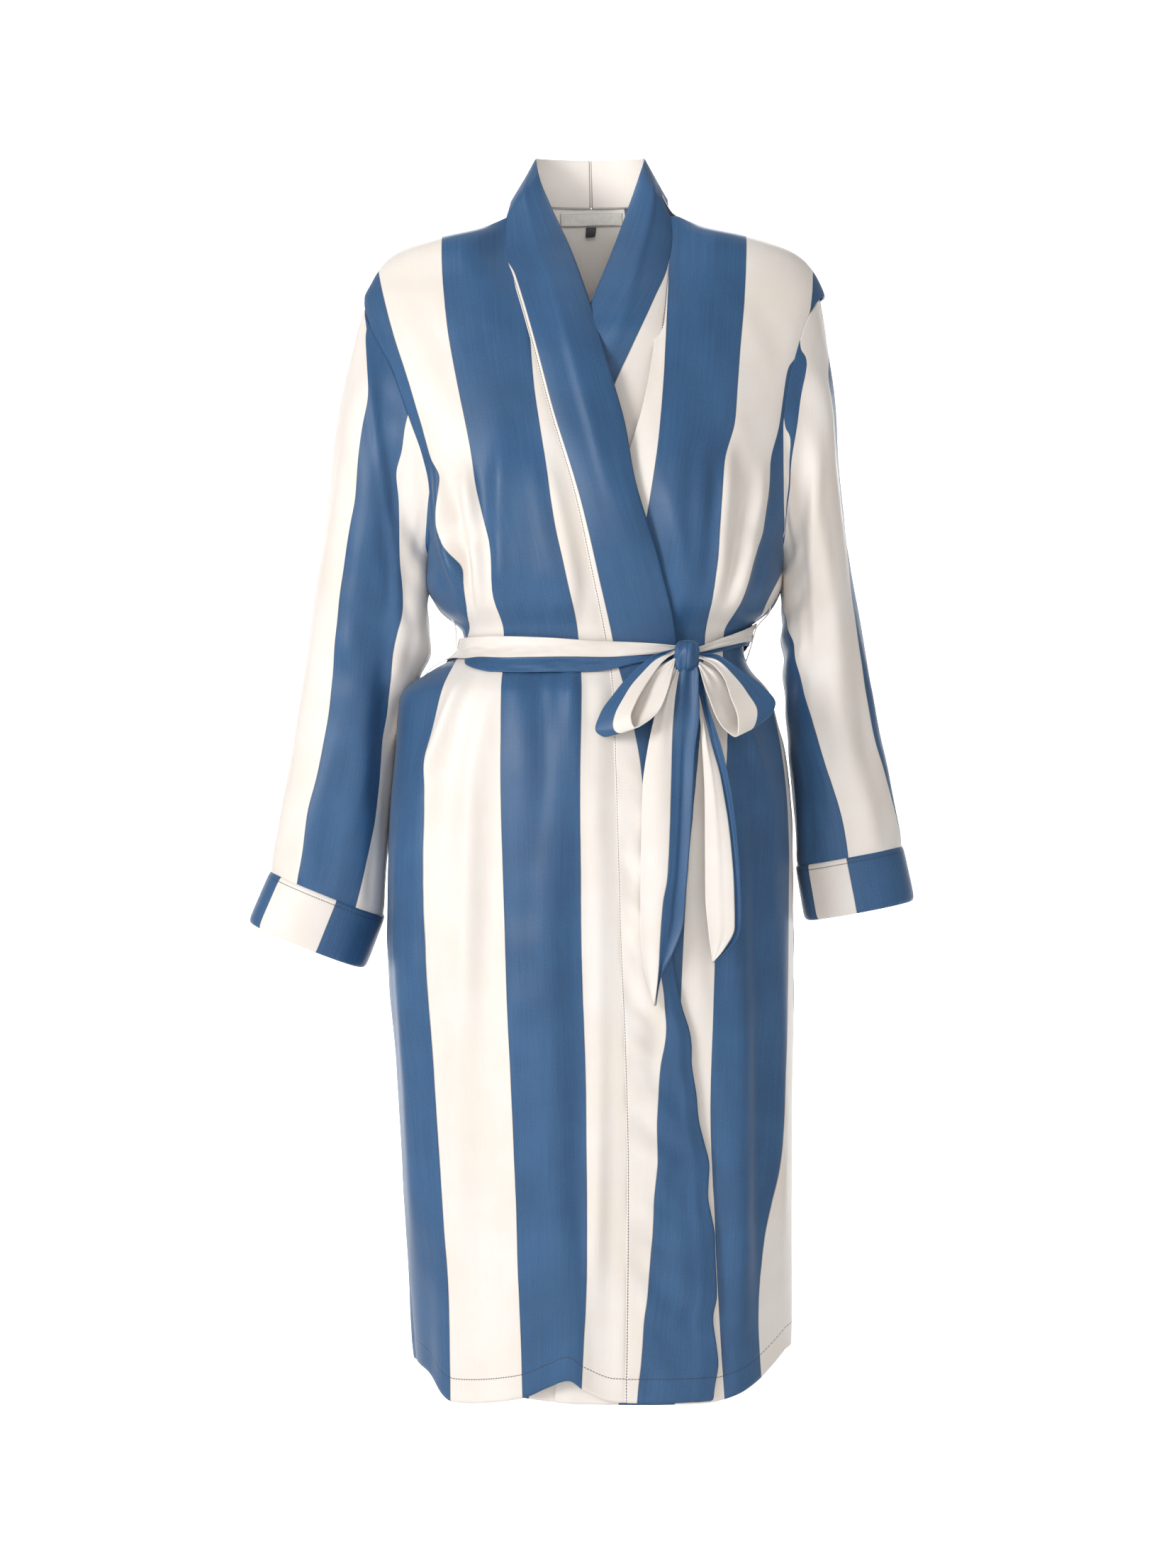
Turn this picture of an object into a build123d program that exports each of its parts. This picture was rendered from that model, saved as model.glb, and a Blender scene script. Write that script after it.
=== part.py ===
"""Striped satin bathrobe, hanging closed with its tie belt in a bow.

The frame's origin is the middle of the neck base, where a hanger or a pair of shoulders carries the
robe. +Z is up, the front faces -Y, and the wearer's left is +X, so "right" pieces lie at -X.
Each piece of cloth is a closed solid of one wall; layers that lie on each other keep a small gap.
"""

import os
from collections import namedtuple
from math import cos, hypot, radians, sin

from build123d import *

os.makedirs("parts", exist_ok=True)

# ---------------------------------------------------------------- cloth
cloth = 2.0  # wall of one layer, which stands for thin satin with its small folds
layer_gap = 0.3  # clearance between two layers that lie on each other
seam_lap = 12.0  # how far one piece passes under the next at a lapped seam
seam_forward = 12.0  # the shoulder and side seams lie this far in front of the robe's middle
side_flat = 8.0  # width of the flat strip down each side, where the belt loops are sewn

# ---------------------------------------------------------------- lengths, down from the neck
collar_stand = 42.0  # the collar band rises this far behind the neck
shoulder_drop = 93.0
armhole_depth = 229.0
underarm_to_waist = 90.0
waist_to_hip = 195.0
hip_to_hem = 473.0

underarm = -(shoulder_drop + armhole_depth)
waist = underarm - underarm_to_waist
hip = waist - waist_to_hip
hem = hip - hip_to_hem

# ---------------------------------------------------------------- half widths and half depths
neck_half_width = 74.0
neck_half_depth = 56.0
shoulder_half_width = 217.0
chest_half_depth = 108.0
waist_half_width = 124.0
waist_half_depth = 96.0
hip_half_width = 184.0
hip_half_depth = 126.0
hem_half_width = 171.0

# ---------------------------------------------------------------- belt
belt_width = 40.0
belt_thickness = 3.0
belt_zone = 56.0  # height of the straight stretch of robe that the belt is pulled round
knot_x = 81.0  # the knot sits to the wearer's left of the middle
knot_width = 24.0
knot_height = 34.0
knot_depth = 36.0

# A level is one horizontal ring of the robe. edge is how far the front edge reaches past the middle,
# and seam how far the seam does that joins the front band to its panel; both are for the right front.
Level = namedtuple("Level", "height half_width half_depth edge seam")
levels = [
    Level(collar_stand, neck_half_width - 19.0, neck_half_depth - 6.0, -52.0, -80.0),
    Level(0.0, neck_half_width, neck_half_depth, -42.0, -72.0),
    Level(-0.46 * shoulder_drop, 0.75 * shoulder_half_width, neck_half_depth, -24.0, -84.0),
    Level(-0.65 * shoulder_drop, 0.89 * shoulder_half_width, neck_half_depth, -16.0, -80.0),
    Level(-shoulder_drop, shoulder_half_width, neck_half_depth + 6.0, -5.0, -70.0),
    Level(-shoulder_drop - 0.6 * armhole_depth, 189.0, chest_half_depth, 31.0, -32.0),
    Level(underarm, 164.0, chest_half_depth + 6.0, 53.0, -9.0),
    Level(underarm - 35.0, 160.0, chest_half_depth + 4.0, 61.0, 0.0),
    Level(waist + belt_zone / 2, waist_half_width, waist_half_depth, 71.0, 8.0),
    Level(waist - belt_zone / 2, waist_half_width, waist_half_depth, 73.0, 15.0),
    Level(waist - 60.0, hip_half_width - 19.0, hip_half_depth - 14.0, 71.0, 20.0),
    Level(hip, hip_half_width, hip_half_depth, 68.0, 29.0),
    Level(hip - 0.5 * hip_to_hem, hip_half_width - 6.0, hip_half_depth + 2.0, 99.0, 36.0),
    Level(hem, hem_half_width, hip_half_depth, 106.0, 20.0),
]
neck_level = levels[1]
far = 2 * (shoulder_half_width + hip_half_depth)  # further out than any cloth
over_cut = 10.0  # how far a cutting shape runs past the cloth


# ---------------------------------------------------------------- the robe's body
def core(inset, past_ends=0.0):
    """The space inside the robe's outline, drawn in by inset and run past its two open ends."""
    rings = list(levels)
    if past_ends:
        rings = [levels[0]._replace(height=collar_stand + past_ends)] + rings
        rings.append(levels[-1]._replace(height=hem - past_ends))
    with BuildPart() as space:
        for ring in rings:
            with BuildSketch(Plane.XY.offset(ring.height)):
                RectangleRounded(
                    2 * (ring.half_width - inset),
                    2 * (ring.half_depth - inset),
                    ring.half_depth - side_flat / 2 - inset,
                )
        loft(ruled=True)
    return space.part


def layer(inset):
    """One layer of cloth all round the robe, its outer face drawn in by inset."""
    with BuildPart() as sheet:
        add(core(inset))
        add(core(inset + cloth, past_ends=over_cut), mode=Mode.SUBTRACT)
    return sheet.part


under_inset = cloth + layer_gap
outer_layer = layer(0.0)
under_layer = layer(under_inset)


# hand is the side of the robe a piece is on: the sign of its X.
right_hand, left_hand = -1, 1


def edge_line(hand):
    """The free front edge, from the top of the collar to the hem."""
    return [(-hand * ring.edge, ring.height) for ring in levels]


def seam_line(hand):
    """The seam between the front band and its panel, from the neck to the hem."""
    return [(-hand * ring.seam, ring.height) for ring in levels[1:]]


# The armhole leans in towards the underarm. armhole_cut takes away everything beyond it.
armhole_top = (shoulder_half_width - 5.0, -shoulder_drop + 8.0)
armhole_bottom = (levels[6].half_width - 0.5, underarm)
armhole_lean = (armhole_top[0] - armhole_bottom[0]) / (armhole_top[1] - armhole_bottom[1])


def armhole_cut(hand):
    """A block beyond the armhole's leaning plane, from the underarm up past the shoulder."""
    top = (armhole_top[0] + armhole_lean * over_cut, armhole_top[1] + over_cut)
    corners = [armhole_bottom, top, (far, top[1]), (far, armhole_bottom[1])]
    with BuildPart() as block:
        with BuildSketch(Plane.XZ):
            with BuildLine():
                Polyline([(hand * x, z) for x, z in corners], close=True)
            make_face()
        extrude(amount=far, both=True)
    return block.part


def front_piece(sheet, outline, behind):
    """What an outline drawn on the front keeps of one layer, back to behind the seam plane."""
    with BuildPart() as piece:
        add(sheet)
        with BuildSketch(Plane.XZ.offset(seam_forward - behind)):
            with BuildLine():
                Polyline(outline, close=True)
            make_face()
        extrude(amount=far, mode=Mode.INTERSECT)
    return piece.part


def panel_outline(hand):
    """From the band's seam out past the side, between the neck and the hem."""
    seam = seam_line(hand)
    low = hem - over_cut
    out = hand * far
    return [(out, 0.0), *seam, (seam[-1][0], low), (out, low)]


def band_outline(hand):
    """Between the band's seam and the free edge, and all of the collar above the neck."""
    edge, seam = edge_line(hand), seam_line(hand)
    low, high, out = hem - over_cut, collar_stand + over_cut, hand * far
    down = [(edge[0][0], high), *edge, (edge[-1][0], low), (seam[-1][0], low)]
    return [*down, *reversed(seam), (out, 0.0), (out, high)]


with BuildPart() as back_panel:
    add(outer_layer)
    with Locations((0, -seam_forward, hem - over_cut)):
        Box(far, far, -hem + over_cut, align=(Align.CENTER, Align.MIN, Align.MIN), mode=Mode.INTERSECT)
    for hand in (right_hand, left_hand):
        add(armhole_cut(hand), mode=Mode.SUBTRACT)

with BuildPart() as front_panel_right:
    add(front_piece(outer_layer, panel_outline(right_hand), 0.0))
    add(armhole_cut(right_hand), mode=Mode.SUBTRACT)

with BuildPart() as front_panel_left:
    add(front_piece(under_layer, panel_outline(left_hand), seam_lap))
    add(armhole_cut(left_hand), mode=Mode.SUBTRACT)


# Each half of the collar band runs from the centre back seam round the neck and down its front edge.
def collar_back(sheet, hand, lap):
    """Half of the standing band behind the neck. The half that lies under passes the middle by lap."""
    with BuildPart() as half:
        add(sheet)
        with Locations((hand * (far / 2 - lap), -seam_forward, 0)):
            Box(far, far, far, align=(Align.CENTER, Align.MIN, Align.MIN), mode=Mode.INTERSECT)
    return half.part


with BuildPart() as collar_band_right:
    add(front_piece(outer_layer, band_outline(right_hand), 0.0))
    add(collar_back(outer_layer, right_hand, 0.0))

with BuildPart() as collar_band_left:
    add(front_piece(under_layer, band_outline(left_hand), 0.0))
    add(collar_back(under_layer, left_hand, seam_lap))


# ---------------------------------------------------------------- sleeves and cuffs
# A sleeve is a tube through rings, each across the line from an outer to an inner point, (x, z) for a
# sleeve at +X. The rings turn from the leaning armhole to square across the arm.
sleeve_back = 10.0  # the sleeves hang this far behind the robe's middle
armhole_gap = 1.2  # between the armhole's edge and the sleeve, measured across the robe
sleeve_half_depths = [56.0, 60.0, 62.0, 62.0, 60.0, 57.0, 54.0, 50.0]
Ring = namedtuple("Ring", "outer inner half_depth")


def half_and_along(ring):
    """Half the ring's width, and the direction down the sleeve that is square to it, as (x, z)."""
    dx, dz = ring.outer[0] - ring.inner[0], ring.outer[1] - ring.inner[1]
    long = hypot(dx, dz)
    return long / 2, (dz / long, -dx / long)


def sleeve_rings(outer_line, inner_line):
    """The rings of one sleeve: the first lies just outside the armhole, the last at the cuff seam."""
    top = (armhole_top[0] + armhole_gap, armhole_top[1] - 4.0)
    bottom = (armhole_bottom[0] + armhole_gap, armhole_bottom[1])
    pairs = zip([top, *outer_line], [bottom, *inner_line], sleeve_half_depths)
    return [Ring(*pair) for pair in pairs]


right_rings = sleeve_rings(
    [(224, -150), (237, -219), (248, -290), (259, -360), (271, -445), (284, -535), (298, -617)],
    [(168, -336), (170, -352), (172, -378), (176, -420), (182, -490), (190, -570), (197, -658)],
)
left_rings = sleeve_rings(
    [(219, -150), (227, -219), (237, -300), (246, -370), (256, -445), (268, -520), (282, -592)],
    [(167, -336), (168, -352), (170, -380), (174, -425), (179, -480), (184, -545), (187, -612)],
)


def ring_plane(ring, hand, push=0.0):
    """The plane of a ring, pushed along the sleeve. Its X runs from the inner to the outer point."""
    along_x, along_z = half_and_along(ring)[1]
    middle_x = (ring.outer[0] + ring.inner[0]) / 2 + push * along_x
    middle_z = (ring.outer[1] + ring.inner[1]) / 2 + push * along_z
    return Plane(
        origin=(hand * middle_x, sleeve_back, middle_z),
        x_dir=(-hand * along_z, 0, along_x),
        z_dir=(hand * along_x, 0, along_z),
    )


def tube(rings, hand, inset, past_ends=0.0):
    """A solid tube through the rings, drawn in by inset and run past both ends."""
    stations = [(ring, 0.0) for ring in rings]
    if past_ends:
        stations = [(rings[0], -past_ends), *stations, (rings[-1], past_ends)]
    with BuildPart() as solid:
        for ring, push in stations:
            half = half_and_along(ring)[0]
            corner = min(half, ring.half_depth) - side_flat / 2 - inset
            with BuildSketch(ring_plane(ring, hand, push)):
                RectangleRounded(2 * (half - inset), 2 * (ring.half_depth - inset), corner)
        loft(ruled=True)
    return solid.part


cuff_depth = 48.0  # the cuff's length along the arm
cuff_flare = 1.0  # the cuff's open end is this much deeper than its seam
cuff_proud = 1.0  # the cuff stands proud of the sleeve by this much all round
cuff_wall = 3.0


def cuff_rings(rings):
    """The cuff's two rings: one at the sleeve's end, and one cuff_depth further along the arm."""
    seam = rings[-1]
    x, z = half_and_along(seam)[1]
    outer, inner = [(p[0] + cuff_depth * x, p[1] + cuff_depth * z) for p in (seam.outer, seam.inner)]
    return [seam, Ring(outer, inner, seam.half_depth + cuff_flare)]


def sleeve(rings, hand):
    with BuildPart() as solid:
        add(tube(rings, hand, 0.0))
        add(tube(rings, hand, cloth, past_ends=over_cut), mode=Mode.SUBTRACT)
    return solid


def cuff(rings, hand):
    ends = cuff_rings(rings)
    with BuildPart() as solid:
        add(tube(ends, hand, -cuff_proud))
        add(tube(ends, hand, cuff_wall - cuff_proud, past_ends=over_cut), mode=Mode.SUBTRACT)
    return solid


sleeve_right = sleeve(right_rings, right_hand)
sleeve_left = sleeve(left_rings, left_hand)
cuff_right = cuff(right_rings, right_hand)
cuff_left = cuff(left_rings, left_hand)


# ---------------------------------------------------------------- belt round the waist, and its loops
def waist_block(grow, height):
    """A block of the waist's outline, grown outwards, centred on the waist."""
    with BuildPart() as block:
        with BuildSketch(Plane.XY.offset(waist - height / 2)):
            RectangleRounded(
                2 * (waist_half_width + grow),
                2 * (waist_half_depth + grow),
                waist_half_depth - side_flat / 2 + grow,
            )
        extrude(amount=height)
    return block.part


belt_clear = 0.5  # between the robe and the belt
with BuildPart() as belt_waist:
    add(waist_block(belt_clear + belt_thickness, belt_width))
    add(waist_block(belt_clear, belt_width + over_cut), mode=Mode.SUBTRACT)

loop_strap = 1.5
loop_strap_width = 6.0
loop_height = belt_width + 8.0
loop_reach = belt_clear + belt_thickness + 0.5  # from the robe to the strap's inner face


def belt_loop(hand):
    """A strap sewn to the robe above and below the belt, which passes through it."""
    width = loop_reach + loop_strap
    place = (hand * (waist_half_width + width / 2), 0, waist)
    with BuildPart() as strap:
        with Locations(place):
            Box(width, loop_strap_width, loop_height)
        with Locations((place[0] - hand * loop_strap / 2, 0, waist)):
            Box(loop_reach, loop_strap_width, loop_height - 2 * loop_strap, mode=Mode.SUBTRACT)
    return strap


belt_loop_right = belt_loop(right_hand)
belt_loop_left = belt_loop(left_hand)

# ---------------------------------------------------------------- bow
# The belt's face where the knot is tied, on the corner arc of the waist's outline.
arc_radius = waist_half_depth - side_flat / 2 + belt_clear + belt_thickness
arc_centre_x = waist_half_width - waist_half_depth + side_flat / 2
belt_face = -side_flat / 2 - (arc_radius**2 - (knot_x - arc_centre_x) ** 2) ** 0.5
knot_front = belt_face - knot_depth

with BuildPart() as belt_knot:
    with Locations((knot_x, knot_front, waist)):
        Box(knot_width, 2 * knot_depth, knot_height, align=(Align.CENTER, Align.MIN, Align.CENTER))
    fillet(belt_knot.edges().filter_by(Axis.Y), radius=knot_width / 4)
    add(waist_block(belt_clear + belt_thickness, belt_width + over_cut), mode=Mode.SUBTRACT)

bow_clear = 1.5  # between the knot and what leaves it
bow_wall = 2.5
bow_strip = 16.0  # how much of the strip's width is seen edge on, front to back
bow_tilt = radians(12.0)  # the loops lean out over the skirt by this angle
root_above = 3.0  # each loop leaves the knot's side from here ...
root_below = 7.0  # ... down to here


def bow_loop(hand, corner_high, tip, corner_low):
    """A loop of belt that droops from the knot's side. Corners are (outwards, up) from the knot."""
    root = knot_width / 2 + bow_clear
    outline = [(root, root_above), corner_high, tip, corner_low, (root, -root_below)]
    corners = [(hand * x, z) for x, z in outline]
    back = (knot_x, knot_front + bow_clear + bow_strip, waist)
    lean = Plane(origin=back, x_dir=(1, 0, 0), z_dir=(0, -cos(bow_tilt), sin(bow_tilt)))
    with BuildPart() as ring:
        with BuildSketch(lean):
            with BuildLine():
                Polyline(corners, close=True)
            make_face()
            offset(amount=-bow_wall, kind=Kind.INTERSECTION, mode=Mode.SUBTRACT)
        extrude(amount=bow_strip)
    return ring


bow_loop_right = bow_loop(right_hand, (48, -22), (77, -76), (36, -66))
bow_loop_left = bow_loop(left_hand, (60, -16), (75, -55), (38, -82))

# ---------------------------------------------------------------- belt tails
tail_wall = 2.5
tail_stand_off = 4.0  # the tails hang this far in front of the skirt
tail_gap = 2.0  # between the two tails
tail_root = waist - knot_height / 2 - bow_clear
# How far in front of the middle a tail hangs, down its length: (y, z) of its front face.
tail_line = [
    (knot_front + 10.0, tail_root),
    (-hip_half_depth + 14.0 - tail_stand_off - tail_wall, waist - 60.0),
    (-hip_half_depth - tail_stand_off - tail_wall, hip + 20.0),
    (-hip_half_depth - tail_stand_off - tail_wall - 2.0, hip - 0.8 * hip_to_hem),
]


def belt_tail(outline):
    """A hanging end of the belt: a strip that follows the skirt, cut to its outline from the front."""
    with BuildPart() as strip:
        with BuildSketch(Plane.YZ):
            with BuildLine():
                front = Polyline(tail_line)
                back = Polyline([(y + tail_wall, z) for y, z in tail_line])
                Line(front @ 0, back @ 0)
                Line(front @ 1, back @ 1)
            make_face()
        extrude(amount=far)
        with BuildSketch(Plane.XZ):
            with BuildLine():
                Polyline(outline, close=True)
            make_face()
        extrude(amount=far, mode=Mode.INTERSECT)
    return strip


def tail_outline(hand, length, stations):
    """The tail's outline. Stations are (share of the length, inner edge, outer edge) off tail_split."""
    down = [(tail_split + hand * (tail_gap / 2 + i), tail_root - t * length) for t, i, o in stations]
    up = [(tail_split + hand * (tail_gap / 2 + o), tail_root - t * length) for t, i, o in stations]
    return down + up[::-1]


tail_split = knot_x + 6.5  # the two tails hang each side of this line
right_tail_length = 308.0
left_tail_length = 258.0
right_end, left_end = (1.0, 33.0, 34.0), (1.0, 13.0, 14.0)
belt_tail_right = belt_tail(
    tail_outline(
        right_hand,
        right_tail_length,
        [(0.0, 0.0, 13.0), (0.1, 0.0, 21.0), (0.22, 0.0, 31.0), (0.45, 0.0, 42.0), (0.7, 0.0, 45.0)]
        + [(0.86, 12.0, 38.0), right_end],
    )
)
belt_tail_left = belt_tail(
    tail_outline(
        left_hand,
        left_tail_length,
        [(0.0, 0.0, 5.0), (0.12, 0.0, 13.0), (0.27, 0.0, 19.0), (0.5, 3.0, 40.0), (0.86, 10.0, 44.0)]
        + [(0.93, 12.0, 38.0), left_end],
    )
)

# ---------------------------------------------------------------- labels
label_width = 57.0
label_height = 12.0
label_wall = 0.8
label_drop = 2.0  # from the neck seam to the label's top edge
tab_size = 9.6
tab_clear = 0.4
label_back = neck_half_depth - cloth  # the inner face of the back panel, below the neck
top_back = (Align.CENTER, Align.MAX, Align.MAX)

with BuildPart() as neck_label:
    with Locations((0, label_back, -label_drop)):
        Box(label_width, label_wall, label_height, align=top_back)

with BuildPart() as size_tab:
    with Locations((0, label_back - tab_clear, -label_drop - label_height - tab_clear)):
        Box(tab_size, label_wall, tab_size, align=top_back)

# ---------------------------------------------------------------- files
pieces = {
    "back_panel": back_panel,
    "front_panel_right": front_panel_right,
    "front_panel_left": front_panel_left,
    "collar_band_right": collar_band_right,
    "collar_band_left": collar_band_left,
    "sleeve_right": sleeve_right,
    "sleeve_left": sleeve_left,
    "cuff_right": cuff_right,
    "cuff_left": cuff_left,
    "belt_waist": belt_waist,
    "belt_loop_right": belt_loop_right,
    "belt_loop_left": belt_loop_left,
    "belt_knot": belt_knot,
    "bow_loop_right": bow_loop_right,
    "bow_loop_left": bow_loop_left,
    "belt_tail_right": belt_tail_right,
    "belt_tail_left": belt_tail_left,
    "neck_label": neck_label,
    "size_tab": size_tab,
}
for name, piece in pieces.items():
    piece.part.label = name
    export_step(piece.part, f"parts/{name}.step")
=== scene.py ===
import bpy
import numpy as np
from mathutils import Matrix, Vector


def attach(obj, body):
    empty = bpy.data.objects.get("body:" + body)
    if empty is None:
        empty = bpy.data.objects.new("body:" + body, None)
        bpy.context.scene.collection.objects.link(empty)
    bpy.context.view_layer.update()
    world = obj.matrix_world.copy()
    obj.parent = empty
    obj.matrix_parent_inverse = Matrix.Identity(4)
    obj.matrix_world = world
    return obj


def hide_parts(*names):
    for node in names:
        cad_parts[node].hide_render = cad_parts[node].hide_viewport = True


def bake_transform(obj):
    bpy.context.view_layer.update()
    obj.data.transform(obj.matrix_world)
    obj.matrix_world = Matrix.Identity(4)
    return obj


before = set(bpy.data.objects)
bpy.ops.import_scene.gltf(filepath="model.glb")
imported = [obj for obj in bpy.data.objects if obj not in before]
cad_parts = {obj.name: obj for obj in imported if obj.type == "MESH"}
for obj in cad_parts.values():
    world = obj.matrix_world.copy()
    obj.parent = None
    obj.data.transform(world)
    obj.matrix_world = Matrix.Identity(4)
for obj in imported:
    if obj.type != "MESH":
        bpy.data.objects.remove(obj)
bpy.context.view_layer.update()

# ---------------------------------------------------------------- Studio
# A plain pale floor that curves up behind the robe, and soft light from large panels, with one small
# lamp inside the neck. The robe hangs from its shoulders, clear of the floor.
view_distance = 2.8
view_height = 1.438  # metres of the robe's own plane from the top to the bottom of the view
camera = bpy.data.objects.new("Studio_camera", bpy.data.cameras.new("Studio_camera"))
camera.data.sensor_width = 36.0
camera.data.lens = camera.data.sensor_width * view_distance / view_height
camera.location = (-0.007, -view_distance, -0.535)
camera.rotation_euler = (np.pi / 2, 0.0, 0.0)
bpy.context.scene.collection.objects.link(camera)
bpy.context.scene.camera = camera


def panel_light(name, place, aim, size, watts):
    """A rectangular light panel at place, turned to face aim."""
    data = bpy.data.lights.new(name, "AREA")
    data.shape = "RECTANGLE"
    data.size, data.size_y = size
    data.energy = watts
    lamp = bpy.data.objects.new(name, data)
    lamp.location = place
    lamp.visible_camera = False
    lamp.rotation_euler = (Vector(aim) - Vector(place)).to_track_quat("-Z", "Y").to_euler()
    bpy.context.scene.collection.objects.link(lamp)


panel_light("Key_panel", (-2.2, -2.1, 0.3), (0.0, 0.0, -0.5), (1.1, 1.1), 58.0)
panel_light("Fill_panel", (2.3, -2.2, 0.2), (0.0, 0.0, -0.5), (1.6, 2.2), 5.0)
panel_light("Front_panel", (0.0, -3.4, 0.1), (0.0, 0.0, -0.4), (1.0, 1.0), 13.0)
panel_light("Top_panel", (0.0, 0.2, 2.2), (0.0, 0.0, 0.0), (2.4, 2.4), 13.0)
panel_light("Low_panel", (0.0, -2.4, -1.3), (0.0, 0.0, -0.9), (2.4, 0.8), 5.0)
panel_light("Neck_panel", (0.0, -0.015, 0.03), (0.0, 0.052, -0.03), (0.05, 0.03), 0.016)
panel_light("Floor_panel", (0.0, 6.0, 4.0), (0.0, 5.6, -1.6), (3.5, 3.0), 240.0)
for side in (-1, 1):
    at, aim = (side * 4.2, 4.8, 1.0), (side * 0.6, 8.0, 0.3)
    panel_light(f"Backdrop_panel_{side}", at, aim, (1.5, 2.5), 330.0)
bpy.context.scene.view_settings.view_transform = "Standard"

world = bpy.data.worlds.new("Studio_air")
world.use_nodes = True
world.node_tree.nodes["Background"].inputs["Color"].default_value = (1.0, 1.0, 1.0, 1.0)
world.node_tree.nodes["Background"].inputs["Strength"].default_value = 0.38
bpy.context.scene.world = world

floor_height = -1.62
sweep = [(-12.0, floor_height), (6.4, floor_height), (7.2, -1.5), (7.7, -1.15), (7.95, -0.6), (8.0, 0.4),
         (8.0, 6.0)]
floor_mesh = bpy.data.meshes.new("Studio_floor")
floor_mesh.from_pydata(
    [(x, y, z) for y, z in sweep for x in (-14.0, 14.0)],
    [],
    [(2 * i, 2 * i + 1, 2 * i + 3, 2 * i + 2) for i in range(len(sweep) - 1)],
)
floor = bpy.data.objects.new("Studio_floor", floor_mesh)
bpy.context.scene.collection.objects.link(floor)


class Socket:
    """A node's output. Arithmetic on it adds Math nodes, and blend and scaled add Mix and Vector Math."""

    def __init__(self, tree, out):
        self.tree, self.out = tree, out

    def maths(self, operation, *terms, clamp=False):
        node = self.tree.nodes.new("ShaderNodeMath")
        node.operation, node.use_clamp = operation, clamp
        for place, term in zip(node.inputs, terms):
            feed(self.tree, place, term)
        return Socket(self.tree, node.outputs[0])

    def __add__(self, other):
        return self.maths("ADD", self, other)

    __radd__ = __add__

    def __sub__(self, other):
        return self.maths("SUBTRACT", self, other)

    def __rsub__(self, other):
        return self.maths("SUBTRACT", other, self)

    def __mul__(self, other):
        return self.maths("MULTIPLY", self, other)

    __rmul__ = __mul__

    def __truediv__(self, other):
        return self.maths("DIVIDE", self, other)

    def __lt__(self, other):
        return self.maths("LESS_THAN", self, other)

    def __gt__(self, other):
        return self.maths("GREATER_THAN", self, other)

    def __mod__(self, other):
        return self.maths("FLOORED_MODULO", self, other)

    def __abs__(self):
        return self.maths("ABSOLUTE", self)

    def ramp(self, low, high):
        """0 below low, 1 above high, and smooth between."""
        node = self.tree.nodes.new("ShaderNodeMapRange")
        node.interpolation_type = "SMOOTHSTEP"
        for place, term in zip(node.inputs, (self, low, high, 0.0, 1.0)):
            feed(self.tree, place, term)
        return Socket(self.tree, node.outputs[0])


def feed(tree, place, term):
    """Links a Socket to an input, or sets the input's own value."""
    if isinstance(term, Socket):
        tree.links.new(term.out, place)
    else:
        place.default_value = term


class Finish:
    """A material under construction: its shader, and one method that adds any other node."""

    def __init__(self, name, **fixed):
        self.material = bpy.data.materials.new(name)
        self.material.use_nodes = True
        self.tree = self.material.node_tree
        self.shader = self.tree.nodes["Principled BSDF"]
        for key, value in fixed.items():
            self.shader.inputs[key.replace("_", " ")].default_value = value

    def node(self, kind, settings=None, output=0, **inputs):
        """Adds any node. An input is given by its name, or by its number as i0, i1 and so on."""
        node = self.tree.nodes.new(kind)
        for key, value in (settings or {}).items():
            setattr(node, key, value)
        for key, value in inputs.items():
            numbered = key[0] == "i" and key[1:].isdigit()
            feed(self.tree, node.inputs[int(key[1:]) if numbered else key.replace("_", " ")], value)
        return Socket(self.tree, node.outputs[output])

    def mix(self, share, first, second):
        """A colour part of the way from first to second."""
        return self.node("ShaderNodeMix", {"data_type": "RGBA"}, 2, i0=share, i6=first, i7=second)

    def parts(self, vector):
        """The first two numbers of a vector."""
        split = self.tree.nodes.new("ShaderNodeSeparateXYZ")
        feed(self.tree, split.inputs[0], vector)
        return Socket(self.tree, split.outputs[0]), Socket(self.tree, split.outputs[1])

    def set(self, key, value):
        feed(self.tree, self.shader.inputs[key], value)


paper = Finish("Studio_paper", Base_Color=(0.93, 0.93, 0.93, 1.0), Roughness=0.9)
floor.data.materials.append(paper.material)

# ---------------------------------------------------------------- Satin
# One polyester satin for the whole robe, printed with wide stripes of blue and cream. It is smooth and
# softly shiny on its face, with fine slubs along the warp. U runs across the stripes, V along them.
blue = (0.036, 0.112, 0.246, 1.0)
blue_deep = (0.024, 0.076, 0.172, 1.0)
cream = (0.810, 0.768, 0.725, 1.0)
cream_warm = (0.780, 0.706, 0.635, 1.0)
thread = (0.028, 0.034, 0.055, 1.0)
stripe = 0.075
stitch_pitch, stitch_length, stitch_half_width = 0.0026, 0.0019, 0.00042


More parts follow.
